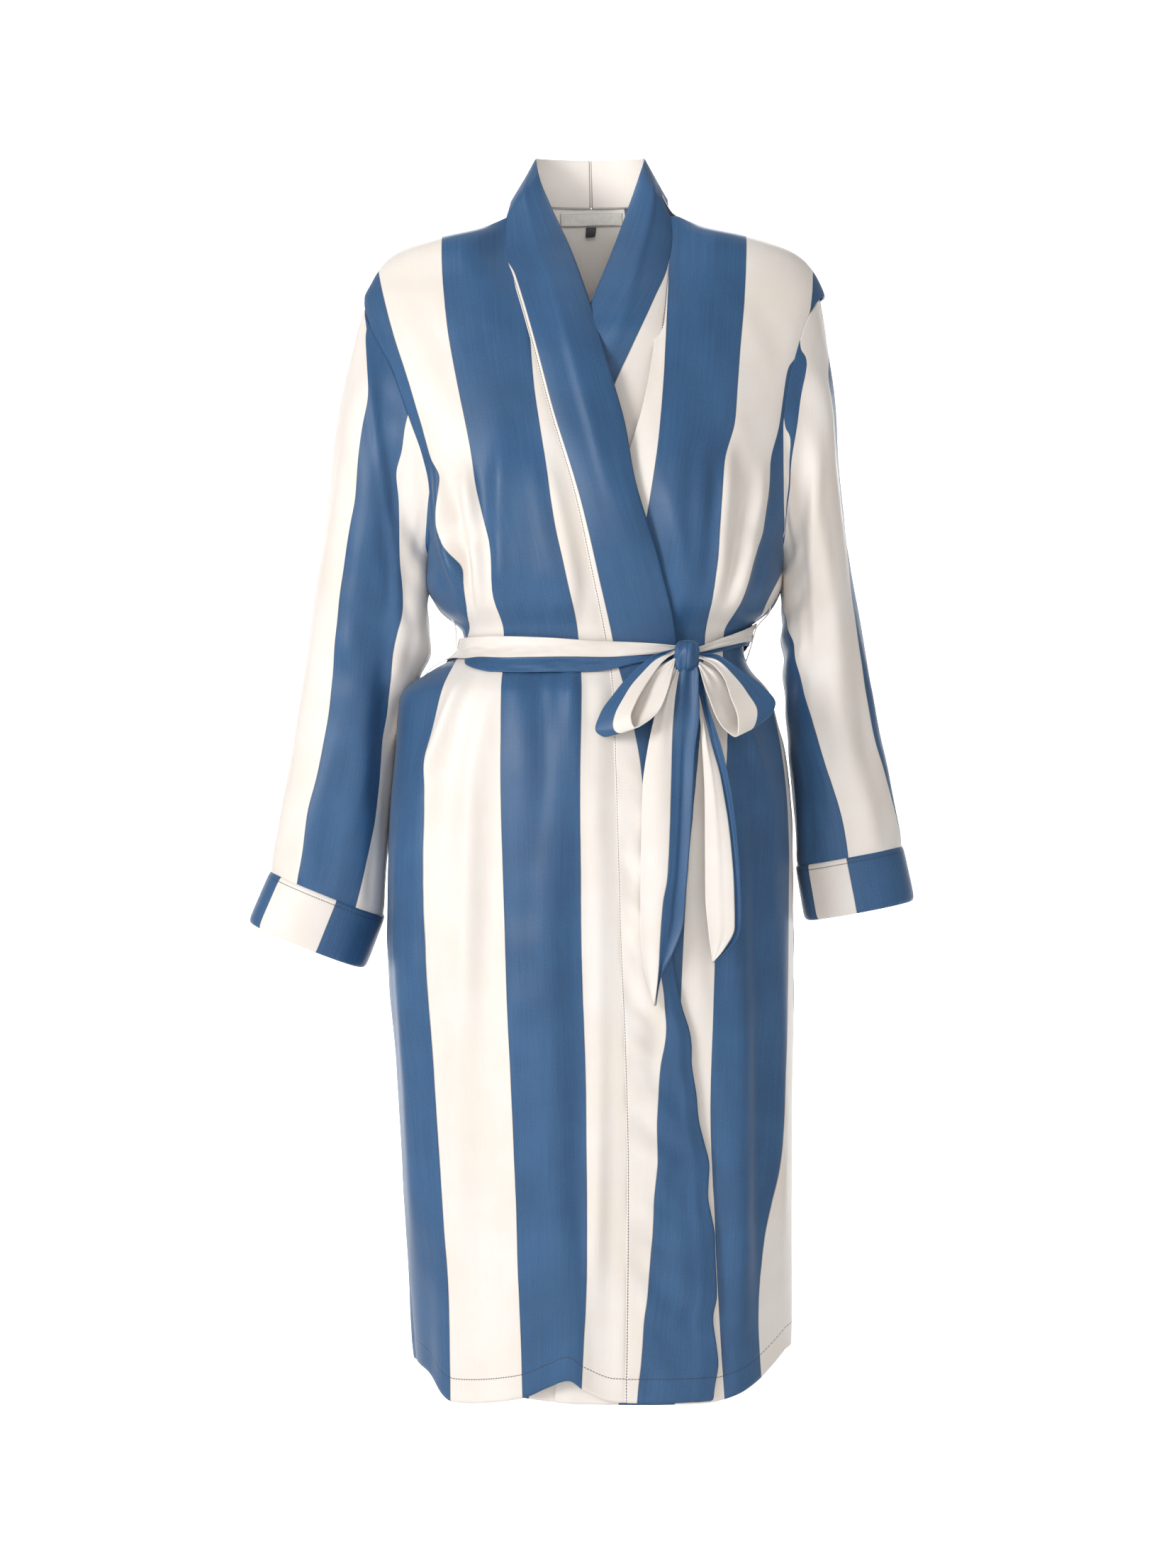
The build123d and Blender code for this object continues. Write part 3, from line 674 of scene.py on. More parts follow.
def band_points(hand, seam, edge, lap, seed):
    """Rows from the centre back, round the neck and down the front; columns from the seam to the edge."""
    neck_seam = [(-4, 53, 2), (-4 + hand * 22, 51, 2), (-4 + hand * 48, 42, 2), (-4 + hand * 66, 24, 2),
                 (-5 + hand * 71, 4, 2)]
    neck_edge = [(-5, 46, 46), (-5 + hand * 18, 44, 46), (-5 + hand * 38, 35, 45), (-5 + hand * 48, 22, 43),
                 (-5 + hand * 50.5, 8, 40)]
    lanes = np.linspace(0, 1, 19)
    share = lanes[None, :, None]
    back = np.array(neck_seam, float)[:, None] * (1 - share) + np.array(neck_edge, float)[:, None] * share

    z = np.concatenate([np.arange(-14, -300, -5.0), np.arange(-300, -1080, -6.0), [-1080.0]])
    edge_z = np.interp(z, [-1090, -150, -60, -14], [-1090, -150, -50, 22])
    x_seam, x_edge = line_at(z, seam), line_at(edge_z, edge)
    loose = ease(-z, 560, 680) * (hand < 0)
    x_edge = x_edge + loose * (2.6 * drift(z / 36, 0 * z, seed + 5) + 1.6 * drift(z / 15, 0 * z, seed + 6))
    x = x_seam[:, None] * (1 - lanes) + x_edge[:, None] * lanes
    zz = z[:, None] * (1 - lanes) + edge_z[:, None] * lanes
    form_y = on_robe(x, np.minimum(zz, -27))[..., 1]
    stand = ease(z, -150, -20)[:, None]
    neck_y = -12 + (z[:, None] + 14) * 0.42 + lanes * 4
    y = form_y * (1 - stand) + np.minimum(neck_y, 0) * stand
    fullness = (2.0 + 5.5 * ease(z, -380, -300)) * (1 - 0.7 * ease(-z, 330, 420))
    roll = np.sin(np.pi * lanes) ** 0.8 * fullness[:, None]
    crease = np.exp(-(((lanes - 0.52) / 0.07) ** 2)) * (2.6 * ease(z, -345, -200))[:, None]
    crease = crease + 1.6 * ease(lanes, 0.52, 0.60) * ease(z, -345, -260)[:, None]
    tilt = (x - x_seam[:, None]) * 0.5
    wide = lanes + 0 * x
    pucker = 4.4 * drift(wide * 1.6, (zz + tilt) / 23, seed) * (1 - ease(lanes, 0.45, 0.85))
    pucker = pucker + 2.3 * drift(wide * 3.0, (zz + tilt) / 11, seed + 1) * (1 - ease(lanes, 0.2, 0.6))
    pucker = pucker + 2.2 * drift(wide * 2.0, zz / 60, seed + 2)
    pucker = pucker + 1.2 * drift(wide * 5.0, zz / 34, seed + 3)
    rim = 2.4 * np.exp(-(((lanes - 0.84) / 0.06) ** 2))
    rim = rim + 1.7 * drift(wide * 2, zz / 19, seed + 4) * ease(lanes, 0.8, 1.0)
    low = ease(-z, 470, 600)[:, None]
    chest = drift(wide * 2.5, zz / 70, seed + 7) * (1 - low)
    ruffle = (pucker + rim * loose[:, None]) * low * np.sin(np.pi * (0.06 + 0.94 * lanes))
    y = y - roll - crease - ruffle - chest
    under = ease(-z, 118, 175)[:, None] if lap else 0 * y
    y = form_y * under + y * (1 - under) - 1.6 * (1 - under) + lap * (under + 0.3 * (1 - stand))
    hem = hem_right if hand < 0 else hem_left
    bent, above = hang(x, zz, hem)
    control = np.concatenate([back, np.stack([x, y, bent], -1)], 0)
    step = np.linalg.norm(np.diff(control[:, 0], axis=0), axis=1) + 1e-6
    run = np.concatenate([[0], np.cumsum(step)])
    fine = np.concatenate([np.linspace(0, run[8], 44)[:-1], run[8:]])
    lines = control.transpose(1, 2, 0)
    columns = [[smooth_line(fine, run, part) for part in line] for line in lines]
    far_off = np.full((len(fine) - len(z) + 3, len(lanes)), 0.9)  # no hem stitches near the neck
    return np.stack(columns).transpose(2, 0, 1), fine, lanes, np.concatenate([far_off, above[3:]], 0)


for hand, seam, edge, lap, name, share_points in [
    (-1, band_seam_right, band_edge_right, 0.0, "right",
     [(0.0, 40), (0.0, -50), (0.06, -76), (0.06, -202), (0.08, -281), (0.12, -420), (0.30, -476),
      (0.47, -525), (0.74, -707), (0.46, -809), (0.36, -878), (0.20, -1015), (0.14, -1077)]),
    (1, band_seam_left, band_edge_left, 7.5, "left",
     [(0.0, 40), (0.0, -30), (0.04, -68), (0.18, -101), (0.33, -149), (0.42, -190), (0.5, -300),
      (0.4, -1077)]),
]:
    rows, along, lanes, hem_off = band_points(hand, seam, edge, lap, 41 if hand < 0 else 51)
    split = line_at(rows[:, 0, 2], share_points)
    split[along < 95] = 0.0
    across = (split[:, None] - lanes) * band_width
    beside = lanes * band_width - 0.0015 + 0 * across
    centre_seam = np.minimum(hem_off, along[:, None] * 0.001 - 0.0012)
    band = cloth_mesh(
        f"Collar_band_{name}", rows, across, -along[:, None] * 0.001, [half_satin, cream_satin], thick=1.3,
        sewn=(beside, centre_seam), flip=hand < 0,
    )
    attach(band, "robe")
    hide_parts(f"collar_band_{name}")

# ---------------------------------------------------------------- Sleeves
# Long sleeves set into a dropped armhole, each cut in one with its seam under the arm. They hang a
# little back of straight down and narrow slightly to the cuff.


def sleeve_loop(armhole, hand, turns):
    """The armhole as a closed loop of points, from the shoulder point forward and down to the underarm."""
    line = np.array(armhole, float)
    line = line[np.argsort(-line[:, 1])]
    line[0] = (hand * 205, -80)
    length = np.concatenate([[0], np.cumsum(np.hypot(*np.diff(line, axis=0).T))])
    half = np.abs(((turns / np.pi) + 1) % 2 - 1)  # 0 at the shoulder, 1 at the underarm
    x = smooth_line(half * length[-1], length, line[:, 0])
    zz = smooth_line(half * length[-1], length, line[:, 1])
    front = turns >= 0
    y = np.where(front, on_robe(x, zz)[..., 1], on_robe(x, zz, face=1.0)[..., 1])
    ends = ease(np.minimum(half, 1 - half), 0.0, 0.10)
    y = y * ends + (1 - ends) * (2 - 12 * np.sin(turns))
    return np.stack([x, y, zz], -1)


def sleeve_surface(armhole, outer, inner, depths, back, hand, cols, rows):
    """Rows of closed rings from the armhole to the cuff. outer and inner are (x, z) lines down the
    sleeve. Each ring starts and ends under the arm, with the back of the sleeve first."""
    turns = np.linspace(-np.pi, np.pi, cols)
    rings = [sleeve_loop(armhole, hand, turns)]
    for (ox, oz), (ix, iz), deep, y0 in zip(outer, inner, depths, back):
        middle = np.array([(ox + ix) / 2, y0, (oz + iz) / 2])
        half = np.array([(ox - ix) / 2, 0, (oz - iz) / 2])
        c, s = np.cos(turns), np.sin(turns)
        c = np.sign(c) * np.abs(c) ** 0.92
        s = np.sign(s) * np.abs(s) ** 0.74
        rings.append(middle + half * c[:, None] + np.array([0, -deep, 0]) * s[:, None])
    rings = np.array(rings)
    knots = np.concatenate([[0], np.cumsum(np.linalg.norm(np.diff(rings, axis=0), axis=2).mean(1))])
    fine = np.linspace(0, knots[-1], rows)
    out = np.zeros((rows, cols, 3))
    slopes = np.gradient(rings, knots, axis=0)
    for r, at in enumerate(fine):
        i = min(np.searchsorted(knots, at, side="right") - 1, len(knots) - 2)
        h = knots[i + 1] - knots[i]
        out[r] = glide((at - knots[i]) / h, h, rings[i], rings[i + 1], slopes[i], slopes[i + 1])
    return out, turns, fine


def outward(points):
    """Unit normals of a grid of points, pointing away from each ring's middle."""
    down = np.gradient(points, axis=0)
    round_ = np.gradient(points, axis=1)
    n = np.cross(down, round_)
    n /= np.linalg.norm(n, axis=2, keepdims=True) + 1e-9
    away = points - points.mean(1, keepdims=True)
    sign = np.sign((n * away).sum(2).mean())
    return n * sign


def sleeve_map(points, hand, edges, start):
    """Distance across a sleeve's cloth in metres. edges holds the (x, z) lines of two stripe edges down
    its front. Away from them it goes on by distance round each ring, to the seam under the arm."""
    step = np.linalg.norm(np.diff(points, axis=1), axis=2)
    run = np.concatenate([np.zeros((len(points), 1)), np.cumsum(step, 1)], 1)
    outer = points.shape[1] // 2
    marks = []
    for edge in edges:
        past = (points[:, outer:, 0] - line_at(points[:, outer:, 2], edge)) * hand
        found = []
        for row, lane in zip(past, run[:, outer:]):
            inside = np.nonzero(row <= 0)[0]
            if len(inside) == 0:
                found.append(lane[-1] + row[-1])
            elif inside[0] == 0:
                found.append(lane[0] + row[0])
            else:
                i = inside[0]
                found.append(lane[i - 1] + (lane[i] - lane[i - 1]) * row[i - 1] / (row[i - 1] - row[i]))
        marks.append(np.array(found)[:, None])
    first, second = marks[0], np.maximum(marks[1], marks[0] + 5)
    between = (run - first) / (second - first) * stripe
    beyond = np.where(run < first, (run - first) * 0.001, stripe + (run - second) * 0.001)
    return start + np.where((run < first) | (run > second), beyond, between)


sleeves = {
    "right": dict(
        hand=-1,
        armhole=armhole_right,
        outer=[(-226, -160), (-237, -219), (-248, -290), (-258, -355), (-270, -440), (-284, -535),
               (-298, -617)],
        inner=[(-152, -336), (-154, -350), (-156, -372), (-154, -410), (-176, -468), (-190, -560),
               (-197, -658)],
        depths=[58, 60, 60, 58, 55, 54, 52],
        back=[4, 6, 10, 14, 18, 18, 16],
        start=0.0,
        edges=[
            [(-205, -112), (-209, -126), (-208, -143), (-204, -182), (-209, -210), (-213, -247),
             (-215, -276), (-220, -302), (-225, -330), (-234, -400), (-240, -462), (-245, -492),
             (-253, -531), (-260, -561), (-265, -600), (-271, -629)],
            [(-164, -196), (-168, -203), (-171, -215), (-174, -236), (-180, -256), (-177, -282),
             (-177, -323), (-174, -371), (-180, -400), (-185, -427), (-187, -453), (-193, -496),
             (-196, -531), (-200, -557), (-209, -600), (-219, -648)],
        ],
        folds=[
            ([(-205, -150), (-208, -250), (-214, -323), (-219, -400), (-212, -461), (-208, -540),
              (-216, -680)], 13, 5.0),
            ([(-178, -220), (-186, -300), (-190, -400), (-196, -500), (-206, -640)], 10, -5.0),
            ([(-206, -120), (-201, -190), (-194, -240), (-183, -320), (-176, -380)], 4, 2.6),
            ([(-150, -250), (-160, -330), (-166, -430)], 6, 3.0),
        ],
    ),
    "left": dict(
        hand=1,
        armhole=armhole_left,
        outer=[(214, -160), (221, -230), (231, -310), (244, -384), (255, -450), (268, -525), (281, -594)],
        inner=[(171, -338), (172, -354), (173, -384), (175, -427), (179, -490), (184, -548), (187, -612)],
        depths=[56, 58, 58, 56, 54, 52, 50],
        back=[4, 6, 10, 14, 16, 16, 14],
        start=stripe,
        edges=[
            [(208, -88), (211, -135), (211, -160), (213, -195), (219, -236), (226, -290), (230, -334),
             (233, -355), (243, -427), (256, -499), (274, -571), (284, -612)],
            [(184, -143), (190, -152), (190, -163), (186, -182), (183, -200), (179, -221), (175, -241),
             (171, -262), (171, -345), (184, -427), (203, -499), (224, -571), (230, -612)],
        ],
        folds=[
            ([(196, -130), (200, -220), (206, -320), (218, -440), (232, -620)], 13, 4.5),
            ([(184, -200), (185, -280), (188, -360), (196, -460)], 7, -5.0),
            ([(226, -300), (238, -420), (252, -560)], 9, -3.0),
        ],
    ),
}
for name, cut in sleeves.items():
    hand = cut["hand"]
    lines = [cut[key] for key in ("armhole", "outer", "inner", "depths", "back")]
    points, turns, along = sleeve_surface(*lines, hand, 73, 118)
    n = outward(points)
    share = (along / along[-1])[:, None]
    c, s = np.cos(turns), np.sin(turns)
    wave = 2.0 * drift(3 * c + 9, share * 4.5 + 2 * s, 51) + 0.9 * drift(5 * c + 4 * s, share * 12, 52)
    by_body = 0.5 - 0.5 * c
    elbow = np.exp(-(((share - 0.48) / 0.16) ** 2))
    rumple = 1.1 * by_body * elbow * np.sin(share * 62 + 2.2 * s)
    drag = by_body * np.exp(-((share / 0.22) ** 2)) * 1.8 * np.sin(turns * 9 + share * 14)
    calm = ease(share, 0.0, 0.05) * (1 - ease(share, 0.97, 1.0))
    lift = wave + rumple + drag
    for path, width, height in cut["folds"]:
        lift = lift + ease(s, 0.0, 0.35) * fold(points[..., 0], points[..., 2], path, width, height)
    across = sleeve_map(points, hand, cut["edges"], cut["start"])
    points = points + n * (lift * calm)[..., None]
    points[:, -1] = points[:, 0]
    sleeve = cloth_mesh(
        f"Sleeve_{name}", points, across, -along[:, None] * 0.001, [striped_satin], flip=hand > 0
    )
    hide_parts(f"sleeve_{name}")
    0.34 if hand < 0 else 0.32
    hand * 0.190
    hand * 0.246
    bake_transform(sleeve)
    cut["end"] = points[-1]
    cut["turns"] = turns

# ---------------------------------------------------------------- Cuffs
# Deep double cuffs, folded back on themselves and sewn to the sleeve's end, with their stripes set off
# from the sleeve's.
# (how far down the arm, how far out from the sleeve's end)
cuff_profile = np.array(
    [
        (-2.0, 0.0), (-1.5, 1.2), (2.0, 2.0), (12.0, 2.3), (24.0, 2.6), (36.0, 2.9), (44.0, 3.0),
        (47.5, 2.2), (48.6, 0.8), (48.0, -0.6), (44.0, -1.0), (24.0, -1.2), (2.0, -1.4),
    ]
)
# turns round the arm, and the distance across the cloth at each: under the arm, outer side, two stripe
# edges, under the arm
cuff_stripes = {
    "right": ([-np.pi, 0.0, np.arccos(1 - 2 * 0.13), np.arccos(1 - 2 * 0.60), np.pi],
              [-0.125, 0.040, 0.075, 0.150, 0.205]),
    "left": ([-np.pi, 0.0, np.arccos(1 - 2 * 0.57), np.arccos(1 - 2 * 0.90), np.pi],
             [-0.155, 0.010, 0.075, 0.150, 0.165]),
}
for name, cut in sleeves.items():
    hand = cut["hand"]
    top = cut["end"]
    middle = top.mean(0)
    across_arm = top[len(top) // 2] - top[0]
    along_arm = np.array([across_arm[2] * hand, 0, -across_arm[0] * hand]) / np.linalg.norm(across_arm)
    radial = top - middle
    radial = radial / np.linalg.norm(radial, axis=1, keepdims=True)
    downs, outs = cuff_profile[:, :1], cuff_profile[:, 1:]
    rows = top + along_arm * downs[:, None] + radial * outs[:, None]
    across = np.interp(cut["turns"], *cuff_stripes[name])
    cuff = cloth_mesh(
        f"Cuff_{name}", rows, across[None], -downs * 0.001, [striped_satin], thick=0.5,
        sewn=(1.0, (downs - 2.5) * 0.001), flip=hand > 0,
    )
    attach(cuff, f"{name}_arm")
    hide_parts(f"cuff_{name}")

# ---------------------------------------------------------------- Belt round the waist
# A long strip of the satin, doubled and turned, half cream and half blue. It is pulled in tight round
# the waist, so it ruckles along its length and folds to half its width at the sides and by the knot.
belt_width = 0.040
# (angle round the waist from the middle of the front, top, bottom, share that is cream)
belt_lie = np.array(
    [
        (0.53, -411, -423, 0.5), (0.445, -412, -422, 0.6), (0.33, -411, -425, 0.62),
        (0.22, -410, -428, 0.60), (-0.02, -408.5, -436, 0.52), (-0.31, -405.5, -436, 0.56),
        (-0.54, -404, -435, 0.60), (-0.85, -403, -428, 0.74), (-1.04, -403, -422, 1.0),
        (-1.33, -402.5, -421, 1.0), (-1.57, -402, -422, 1.0), (-2.2, -396, -430, 0.7),
        (-3.14, -393, -431, 0.5), (-4.0, -391, -429, 0.5), (-4.71, -388, -409, 0.8),
        (-5.02, -394, -410, 0.78), (-5.4, -404, -416, 0.7), (-5.66, -413, -422, 0.6),
        (-5.76, -416, -424, 0.5),
    ]
)


def round_robe(turn, z, out=0.0):
    """The point of the form at an angle round it, moved out by out. Angles rise to the wearer's left."""
    centre, wide, deep = sizes_at(z)
    s, c = np.sin(turn), np.cos(turn)
    power = 2 / roundness
    nx = np.sign(s) * np.abs(s) ** (2 - power) / wide
    ny = -np.sign(c) * np.abs(c) ** (2 - power) / deep
    size = np.sqrt(nx * nx + ny * ny) + 1e-12
    x = centre + wide * np.sign(s) * np.abs(s) ** power + out * nx / size
    y = -deep * np.sign(c) * np.abs(c) ** power + out * ny / size
    return np.stack([x, y, z + 0 * x], -1)


turn = np.linspace(belt_lie[0, 0], belt_lie[-1, 0], 260)
top, bottom, creamy = [smooth_line(-turn, -belt_lie[:, 0], column)[:, None] for column in belt_lie.T[1:]]
lanes = np.linspace(0, 1, 25)
z = top * (1 - lanes) + bottom * lanes
knot_turn, far_turn = belt_lie[1, 0], belt_lie[-2, 0]
by_knot = np.maximum(ease(turn, 0.1, knot_turn), 1 - ease(turn, far_turn, far_turn + 0.5))[:, None]
ply = 1.7 * (1 - ease(lanes - creamy, -0.03, 0.05))
ruckle = 0.7 * drift(lanes * 5 + 0 * z, turn[:, None] * 5 + 2 * lanes, 61)
ruckle = ruckle + 0.45 * drift(lanes * 9 + 0 * z, turn[:, None] * 16, 62)
pleat = by_knot * 1.5 * np.sin(2 * np.pi * 2.3 * lanes + 1.0)
out = 3.6 + 1.6 * lanes + 1.4 * np.sin(np.pi * lanes) ** 0.6 + ply + ruckle + pleat
belt_waist = cloth_mesh(
    "Belt_waist", round_robe(turn[:, None], z, out), (creamy - lanes) * belt_width, turn[:, None] * 0.11,
    [half_satin], thick=0.9, flip=True,
)
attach(belt_waist, "robe")
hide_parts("belt_waist")

# ---------------------------------------------------------------- Knot
# The belt's end crosses over itself once and is drawn up through, which leaves a small blue knuckle
# with a few pleats running down it.
knot_x, knot_y, knot_z = 80.0, -106.0, -422.5
turns = np.linspace(0, 2 * np.pi, 61)
levels = np.linspace(-1, 1, 33)[:, None]
full = (1 - np.abs(levels) ** 3.5) ** 0.5
half_wide = (10.6 - 0.8 * levels) * (0.34 + 0.66 * full)
half_deep = 13.5 * (0.25 + 0.75 * full)
s, c = np.sin(turns), np.cos(turns)
pleats = 1 + 0.10 * np.sin(6 * turns + 1.3 * levels + 0.8) * np.clip(c, 0, 1)
pleats = pleats + 0.05 * np.sin(9 * turns - 2 * levels)
x = knot_x + 1.2 * levels + half_wide * pleats * np.sign(s) * np.abs(s) ** 0.8
y = knot_y + 1.5 * levels - half_deep * pleats * np.sign(c) * np.abs(c) ** 0.8
z = knot_z + 13.5 * levels + 1.4 * np.sin(3 * turns) * full
across = -0.004 - 0.010 * turns + 0 * levels
knot = cloth_mesh(
    "Belt_knot", np.stack([x, y, z], -1), across, levels * 0.014, [half_satin], thick=0.9, flip=True
)
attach(knot, "robe")
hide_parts("belt_knot")

# ---------------------------------------------------------------- Bow loops
# The belt doubled back on itself each side of the knot. Each loop droops, pinched where it leaves the
# knot, with the cream half of the belt to the front and the blue half behind.


def through(points, count):
    """count points evenly spaced along a smooth curve through points."""
    points = np.array(points, float)
    run = np.concatenate([[0], np.cumsum(np.linalg.norm(np.diff(points, axis=0), axis=1))])
    slopes = np.gradient(points, run, axis=0)
    at = np.linspace(0, run[-1], count)
    i = np.clip(np.searchsorted(run, at, side="right") - 1, 0, len(run) - 2)
    h = (run[i + 1] - run[i])[:, None]
    t = (at - run[i])[:, None] / h
    return glide(t, h, points[i], points[i + 1], slopes[i], slopes[i + 1])


bows = {
    "right": dict(
        front=[(70, -419), (59.3, -427), (45.5, -444.7), (35, -462.7), (30.3, -478), (33.6, -486.5),
               (42.7, -482.1), (53.8, -472.4), (61.5, -458), (67.1, -437.8), (70.5, -424)],
        back=[(70, -416.5), (48.5, -422.9), (33, -436), (17.0, -454.6), (4, -473.5), (0.6, -489),
              (7.5, -493.5), (17, -490.5), (27, -475), (36, -455), (50, -436), (70.5, -424)],
    ),
    "left": dict(
        front=[(90.5, -424), (100.8, -429), (110.5, -439.2), (117.5, -458.7), (123.4, -477.3),
               (121.6, -494.5), (111.9, -487.6), (102.2, -471), (95.3, -451.6), (90.5, -432)],
        back=[(90.5, -421), (108, -421.5), (126.4, -434.3), (143, -447), (157.2, -464.5),
              (153, -474.5), (141, -482), (131, -484), (124, -470), (116, -452), (107, -437),
              (90.5, -427)],
    ),
}
for name, bow in bows.items():
    near, far = through(bow["front"], 110), through(bow["back"], 110)
    lanes = np.linspace(0, 1, 15)
    flat = near[:, None] * (1 - lanes[:, None]) + far[:, None] * lanes[:, None]
    reach = np.clip((-flat[..., 1] - 416) / 72, 0, 1)
    y_far = -109.0 - 17.0 * reach
    y = y_far - (2.0 + 15.0 * ease(reach, 0, 0.7)) * (1 - lanes)
    along = np.linspace(0, 1, 110)[:, None]
    pinch = 1 - ease(np.minimum(along, 1 - along), 0.0, 0.22)
    y = y - 1.8 * pinch * np.sin(2 * np.pi * 2.2 * lanes + 3 * along)
    y = y - drift(lanes * 2 + 0 * y, along * 7, 71)
    middle = flat.mean((0, 1))
    outward_bow = flat - middle
    outward_bow /= np.linalg.norm(outward_bow, axis=-1, keepdims=True)
    bulge = 1.3 * np.sin(np.pi * lanes) + 0.7 * drift(lanes * 3 + 0 * y, along * 10, 72)
    flat = flat + outward_bow * (bulge * (1 - pinch))[..., None]
    rows = np.stack([flat[..., 0], y, flat[..., 1]], -1)
    loop = cloth_mesh(
        f"Bow_loop_{name}", rows, (0.5 - lanes) * belt_width, along * 0.2, [half_satin, cream_satin],
        thick=0.9, flip=name == "left",
    )
    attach(loop, f"{name}_bow")
    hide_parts(f"bow_loop_{name}")

# ---------------------------------------------------------------- Belt tails
# The two ends of the belt hang from under the knot, cut slantwise at their tips. The longer one falls
# over the front band, with a soft fold down its blue half.
tail_top = -431.5
tails = {
    "right": dict(
        cream=[(70.5, -431.5), (67, -438), (58, -454.3), (51.1, -476.5), (44.2, -509.7),
               (40.6, -537.4), (39.5, -576.2), (38.6, -631.6), (38.6, -667.6), (41.4, -692.5),
               (46.4, -714.6), (50.5, -728.5)],
        split=[(75, -431.5), (73.2, -438), (69.1, -465.4), (67.1, -493.1), (65.5, -548.5),
               (64.4, -581.7), (62.2, -617.7), (58.5, -639.9), (56.4, -667.6), (54.5, -700.8),
               (51.4, -728.5)],
        blue=[(89, -431.5), (90.4, -438), (90.7, -473.7), (86.5, -506.9), (84.3, -548.5), (81.5, -590),
              (78.2, -631.6), (76.4, -655), (67, -682), (57, -700.8), (53.2, -717.4), (51.8, -728.5)],
        tip=-728.5, front=0.0,
    ),
    "left": dict(
        cream=[(82.5, -431.5), (84.5, -440), (90.6, -465.2), (92.8, -498.5), (95.1, -548.5),
               (95.6, -631.8), (98.4, -665.1), (102, -690.9)],
        split=[(85, -431.5), (88, -440), (92.5, -462.5), (101.2, -498.5), (109.5, -529.1),
               (118.2, -587.4), (121, -631.8), (121.5, -660), (112, -680), (102.6, -690.9)],
        blue=[(90, -431.5), (92.6, -440), (98.4, -465.2), (110.9, -506.9), (119.2, -548.5),
              (124.8, -604), (126.7, -650), (124, -668), (113, -681.5), (103.2, -690.9)],
        tip=-690.9, front=4.0,
    ),
}
for name, tail in tails.items():
    z = np.linspace(tail_top, tail["tip"], 96)
    lanes = np.linspace(0, 2, 21)
    cream_edge, split, blue_edge = [line_at(z, tail[key])[:, None] for key in ("cream", "split", "blue")]
    blue_part = split + (blue_edge - split) * (lanes - 1)
    x = np.where(lanes < 1, cream_edge + (split - cream_edge) * lanes, blue_part)
    z = np.broadcast_to(z[:, None], x.shape)
    hang_y = line_at(z, [(-116, -431.5), (-120, -460), (-126, -500), (-131, -560), (-134, -640),
                         (-135, -740)])
    clear = on_robe(x, z, out=8.0)[..., 1]
    free = ease(-z, 440, 520)
    sway = 1.6 * np.sin(2 * np.pi * lanes * 0.62 + 0.7 + z / 120) + drift(lanes * 1.5 + 0 * x, z / 45, 81)
    wave = 1.2 * drift(lanes * 0.8 + 0 * x, z / 90, 82)
    if name == "right":
        ply = 2.6 * ease(lanes, 1.42, 1.52) * ease(-z, 470, 520) * (1 - ease(-z, 640, 690))
    else:
        ply = 1.4 * ease(lanes, 0.55, 0.62)
    gather = (1 - free) * 1.6 * np.sin(2 * np.pi * 1.4 * lanes)
    y = np.minimum(hang_y, clear) + tail["front"] + (sway + wave) * free + ply + gather
    strip = cloth_mesh(
        f"Belt_tail_{name}", np.stack([x, y, z], -1), (split - x) * 0.001, z * 0.001,
        [half_satin, cream_satin], thick=0.9, flip=True,
    )
    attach(strip, f"{name}_tail")
    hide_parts(f"belt_tail_{name}")
    length = tail_top - tail["tip"]
    0.037 if name == "right" else 0.026
    length * 0.001

# ---------------------------------------------------------------- Belt loops
# A narrow cream strip at each side seam, sewn down above and below the belt, which passes through it.
# (how far out from the robe, share of the way down)
strap_path = [(0.4, 0.0), (2.0, 0.05), (5.0, 0.14), (7.8, 0.3), (8.6, 0.5), (7.8, 0.7), (5.0, 0.86),
              (2.0, 0.95), (0.4, 1.0)]
for hand, name, top_z, low_z in ((-1, "right", -384.0, -437.0), (1, "left", -372.0, -424.0)):
    out, share = through(np.array(strap_path) * (1, 40), 31).T
    z = (top_z + (low_z - top_z) * share / 40)[:, None]
    across = np.linspace(-1, 1, 7)
    turn = hand * (np.pi / 2 - 0.10) + across * 0.030
    rows = round_robe(turn, z, out[:, None] + 0.3 * (1 - across**2))
    strap = cloth_mesh(
        f"Belt_loop_{name}", rows, 0.01 + across * 0.003, z * 0.001, [cream_satin], thick=0.8, flip=True
    )
    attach(strap, "robe")
    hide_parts(f"belt_loop_{name}")

# ---------------------------------------------------------------- Neck label
# A plain woven tape label, folded under and sewn flat inside the back of the neck. It carries no words.
tape = Finish("Label_tape", Roughness=0.75, Sheen_Weight=0.15, Specular_IOR_Level=0.3)
place = tape.node("ShaderNodeUVMap", {"uv_map": "cloth"})
across, along = tape.parts(place)
rib = abs((along / 0.0009) % 1.0 - 0.5) * 2.0
rung = abs((across / 0.0007) % 1.0 - 0.5) * 2.0
mottle = tape.node("ShaderNodeTexNoise", {"noise_dimensions": "2D"}, Vector=place, Scale=260.0, Detail=2.0)
selvedge = abs(along) > 0.0049
shade = tape.mix(mottle, (0.66, 0.635, 0.59, 1.0), (0.80, 0.775, 0.73, 1.0))
tape.set("Base Color", tape.mix(selvedge * 0.35, shade, (0.50, 0.48, 0.45, 1.0)))
relief = rib + rung * 0.6 + mottle * 0.5
tape.set("Normal", tape.node("ShaderNodeBump", Strength=0.5, Distance=0.0002, Height=relief))


def inside_back(x, z, off):
    """A point off millimetres in front of the back panel's inner face, below the neck seam."""
    p = on_robe(x, z, face=1.0)
    return np.stack([x, p[..., 1] - 0.6 - off, z], -1)


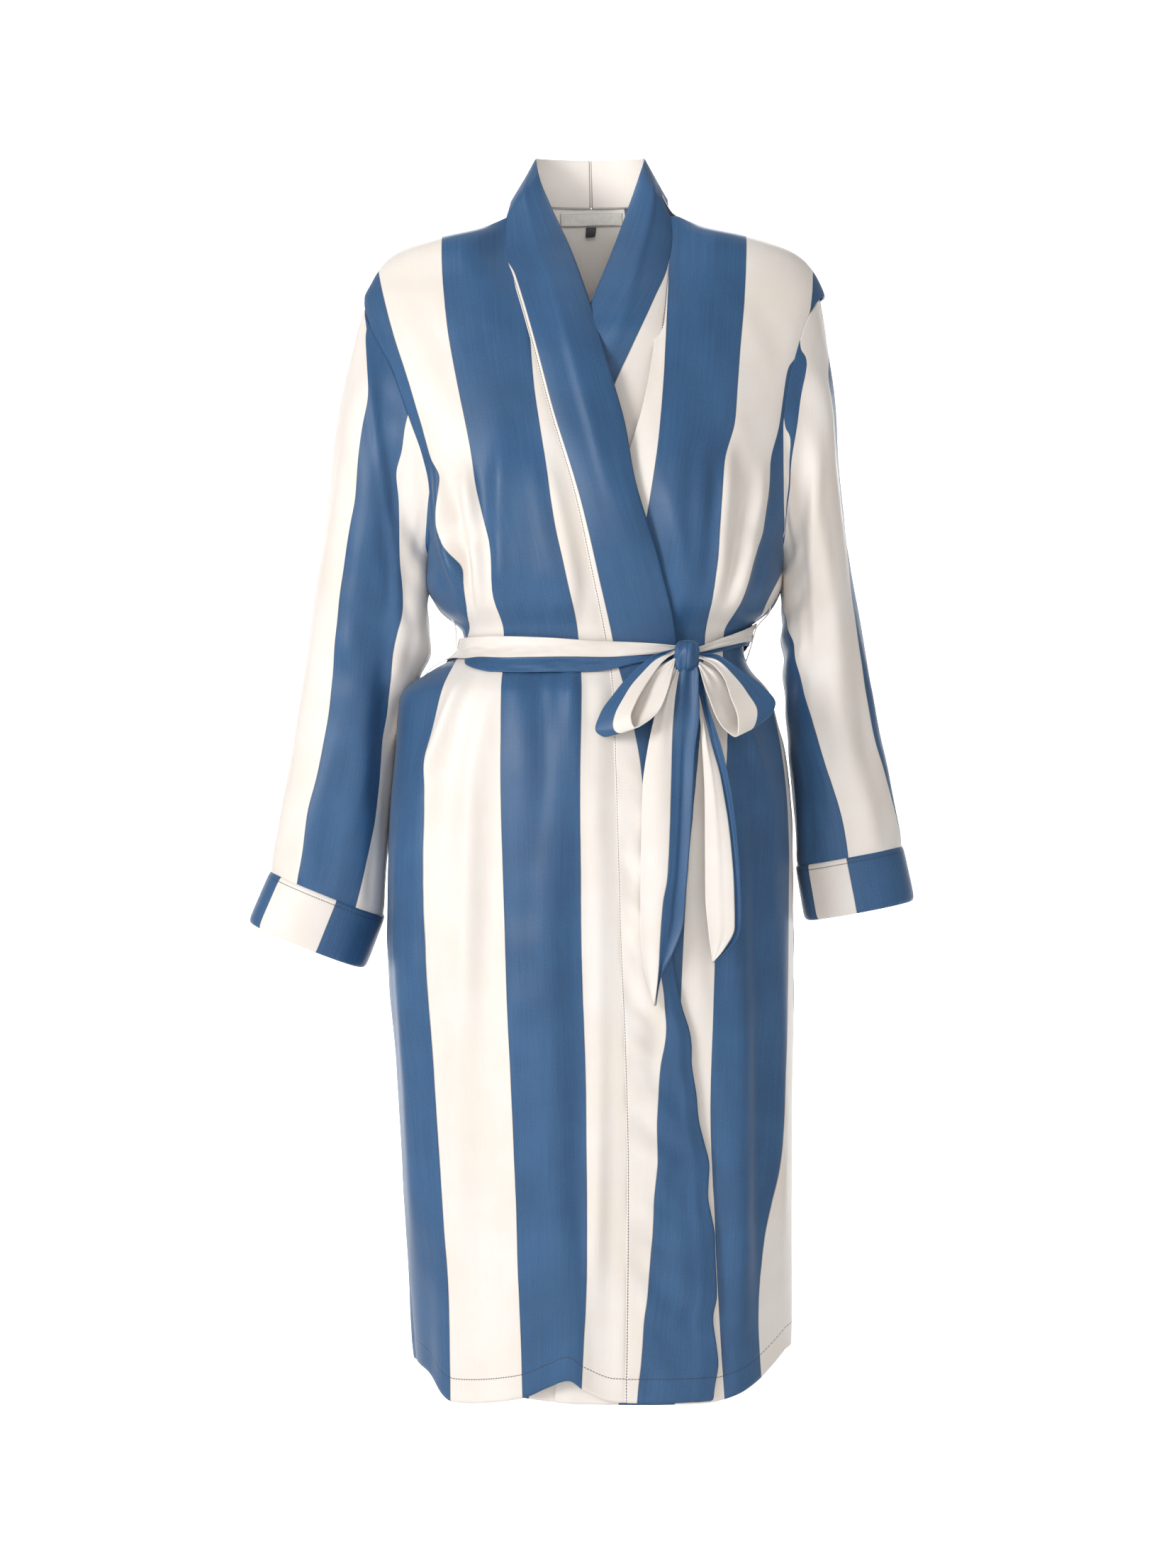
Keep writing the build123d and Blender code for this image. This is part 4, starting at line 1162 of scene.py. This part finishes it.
label_top, label_bottom, label_half, label_middle = -2.0, -14.0, 28.5, -4.0
lanes, levels = np.linspace(-1, 1, 45), np.linspace(0, 1, 15)[:, None]
x = lanes * label_half + 0.4 * levels + label_middle
z = label_top + (label_bottom - label_top) * levels + 0.5 * np.sin(2.4 * lanes + 0.6)
off = 1.3 + 0.5 * levels + 0.35 * np.sin(4.2 * lanes + levels)
off = off + 0.25 * drift(lanes * 6 + 0 * z, levels * 2, 91)
off = off - 0.7 * np.exp(-(((np.abs(lanes) - 0.95) / 0.03) ** 2))
across, along = (x - label_middle) * 0.001, (levels - 0.5) * 0.012 + 0 * x
label = cloth_mesh("Neck_label", inside_back(x, z, off), across, along, [tape.material], thick=0.5)
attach(label, "robe")
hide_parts("neck_label")

# ---------------------------------------------------------------- Size tab
# A small loop of black ribbon tucked under the label's lower edge. It is blank.
ribbon = Finish("Tab_ribbon", Roughness=0.45, Sheen_Weight=0.2, Specular_IOR_Level=0.4)
place = ribbon.node("ShaderNodeUVMap", {"uv_map": "cloth"})
across, along = ribbon.parts(place)
weave = abs((across / 0.0005) % 1.0 - 0.5) + abs((along / 0.0005) % 1.0 - 0.5)
lint = ribbon.node("ShaderNodeTexNoise", {"noise_dimensions": "2D"}, Vector=place, Scale=900.0, Detail=2.0)
ribbon.set("Base Color", ribbon.mix(lint, (0.010, 0.010, 0.012, 1.0), (0.026, 0.026, 0.030, 1.0)))
relief = weave + lint * 0.5
ribbon.set("Normal", ribbon.node("ShaderNodeBump", Strength=0.4, Distance=0.0002, Height=relief))
lanes, levels = np.linspace(-1, 1, 15), np.linspace(0, 1, 15)[:, None]
x = label_middle + lanes * (4.8 - 0.3 * levels) - 0.8 * levels
z = -15.2 - 8.8 * levels + 0.5 * lanes * levels
off = 1.7 + 1.0 * levels + 0.5 * np.sin(np.pi * levels) + 0.3 * lanes * levels
tab = cloth_mesh("Size_tab", inside_back(x, z, off), x * 0.001, z * 0.001, [ribbon.material], thick=0.7)
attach(tab, "size_flag")
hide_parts("size_tab")

bpy.context.view_layer.update()
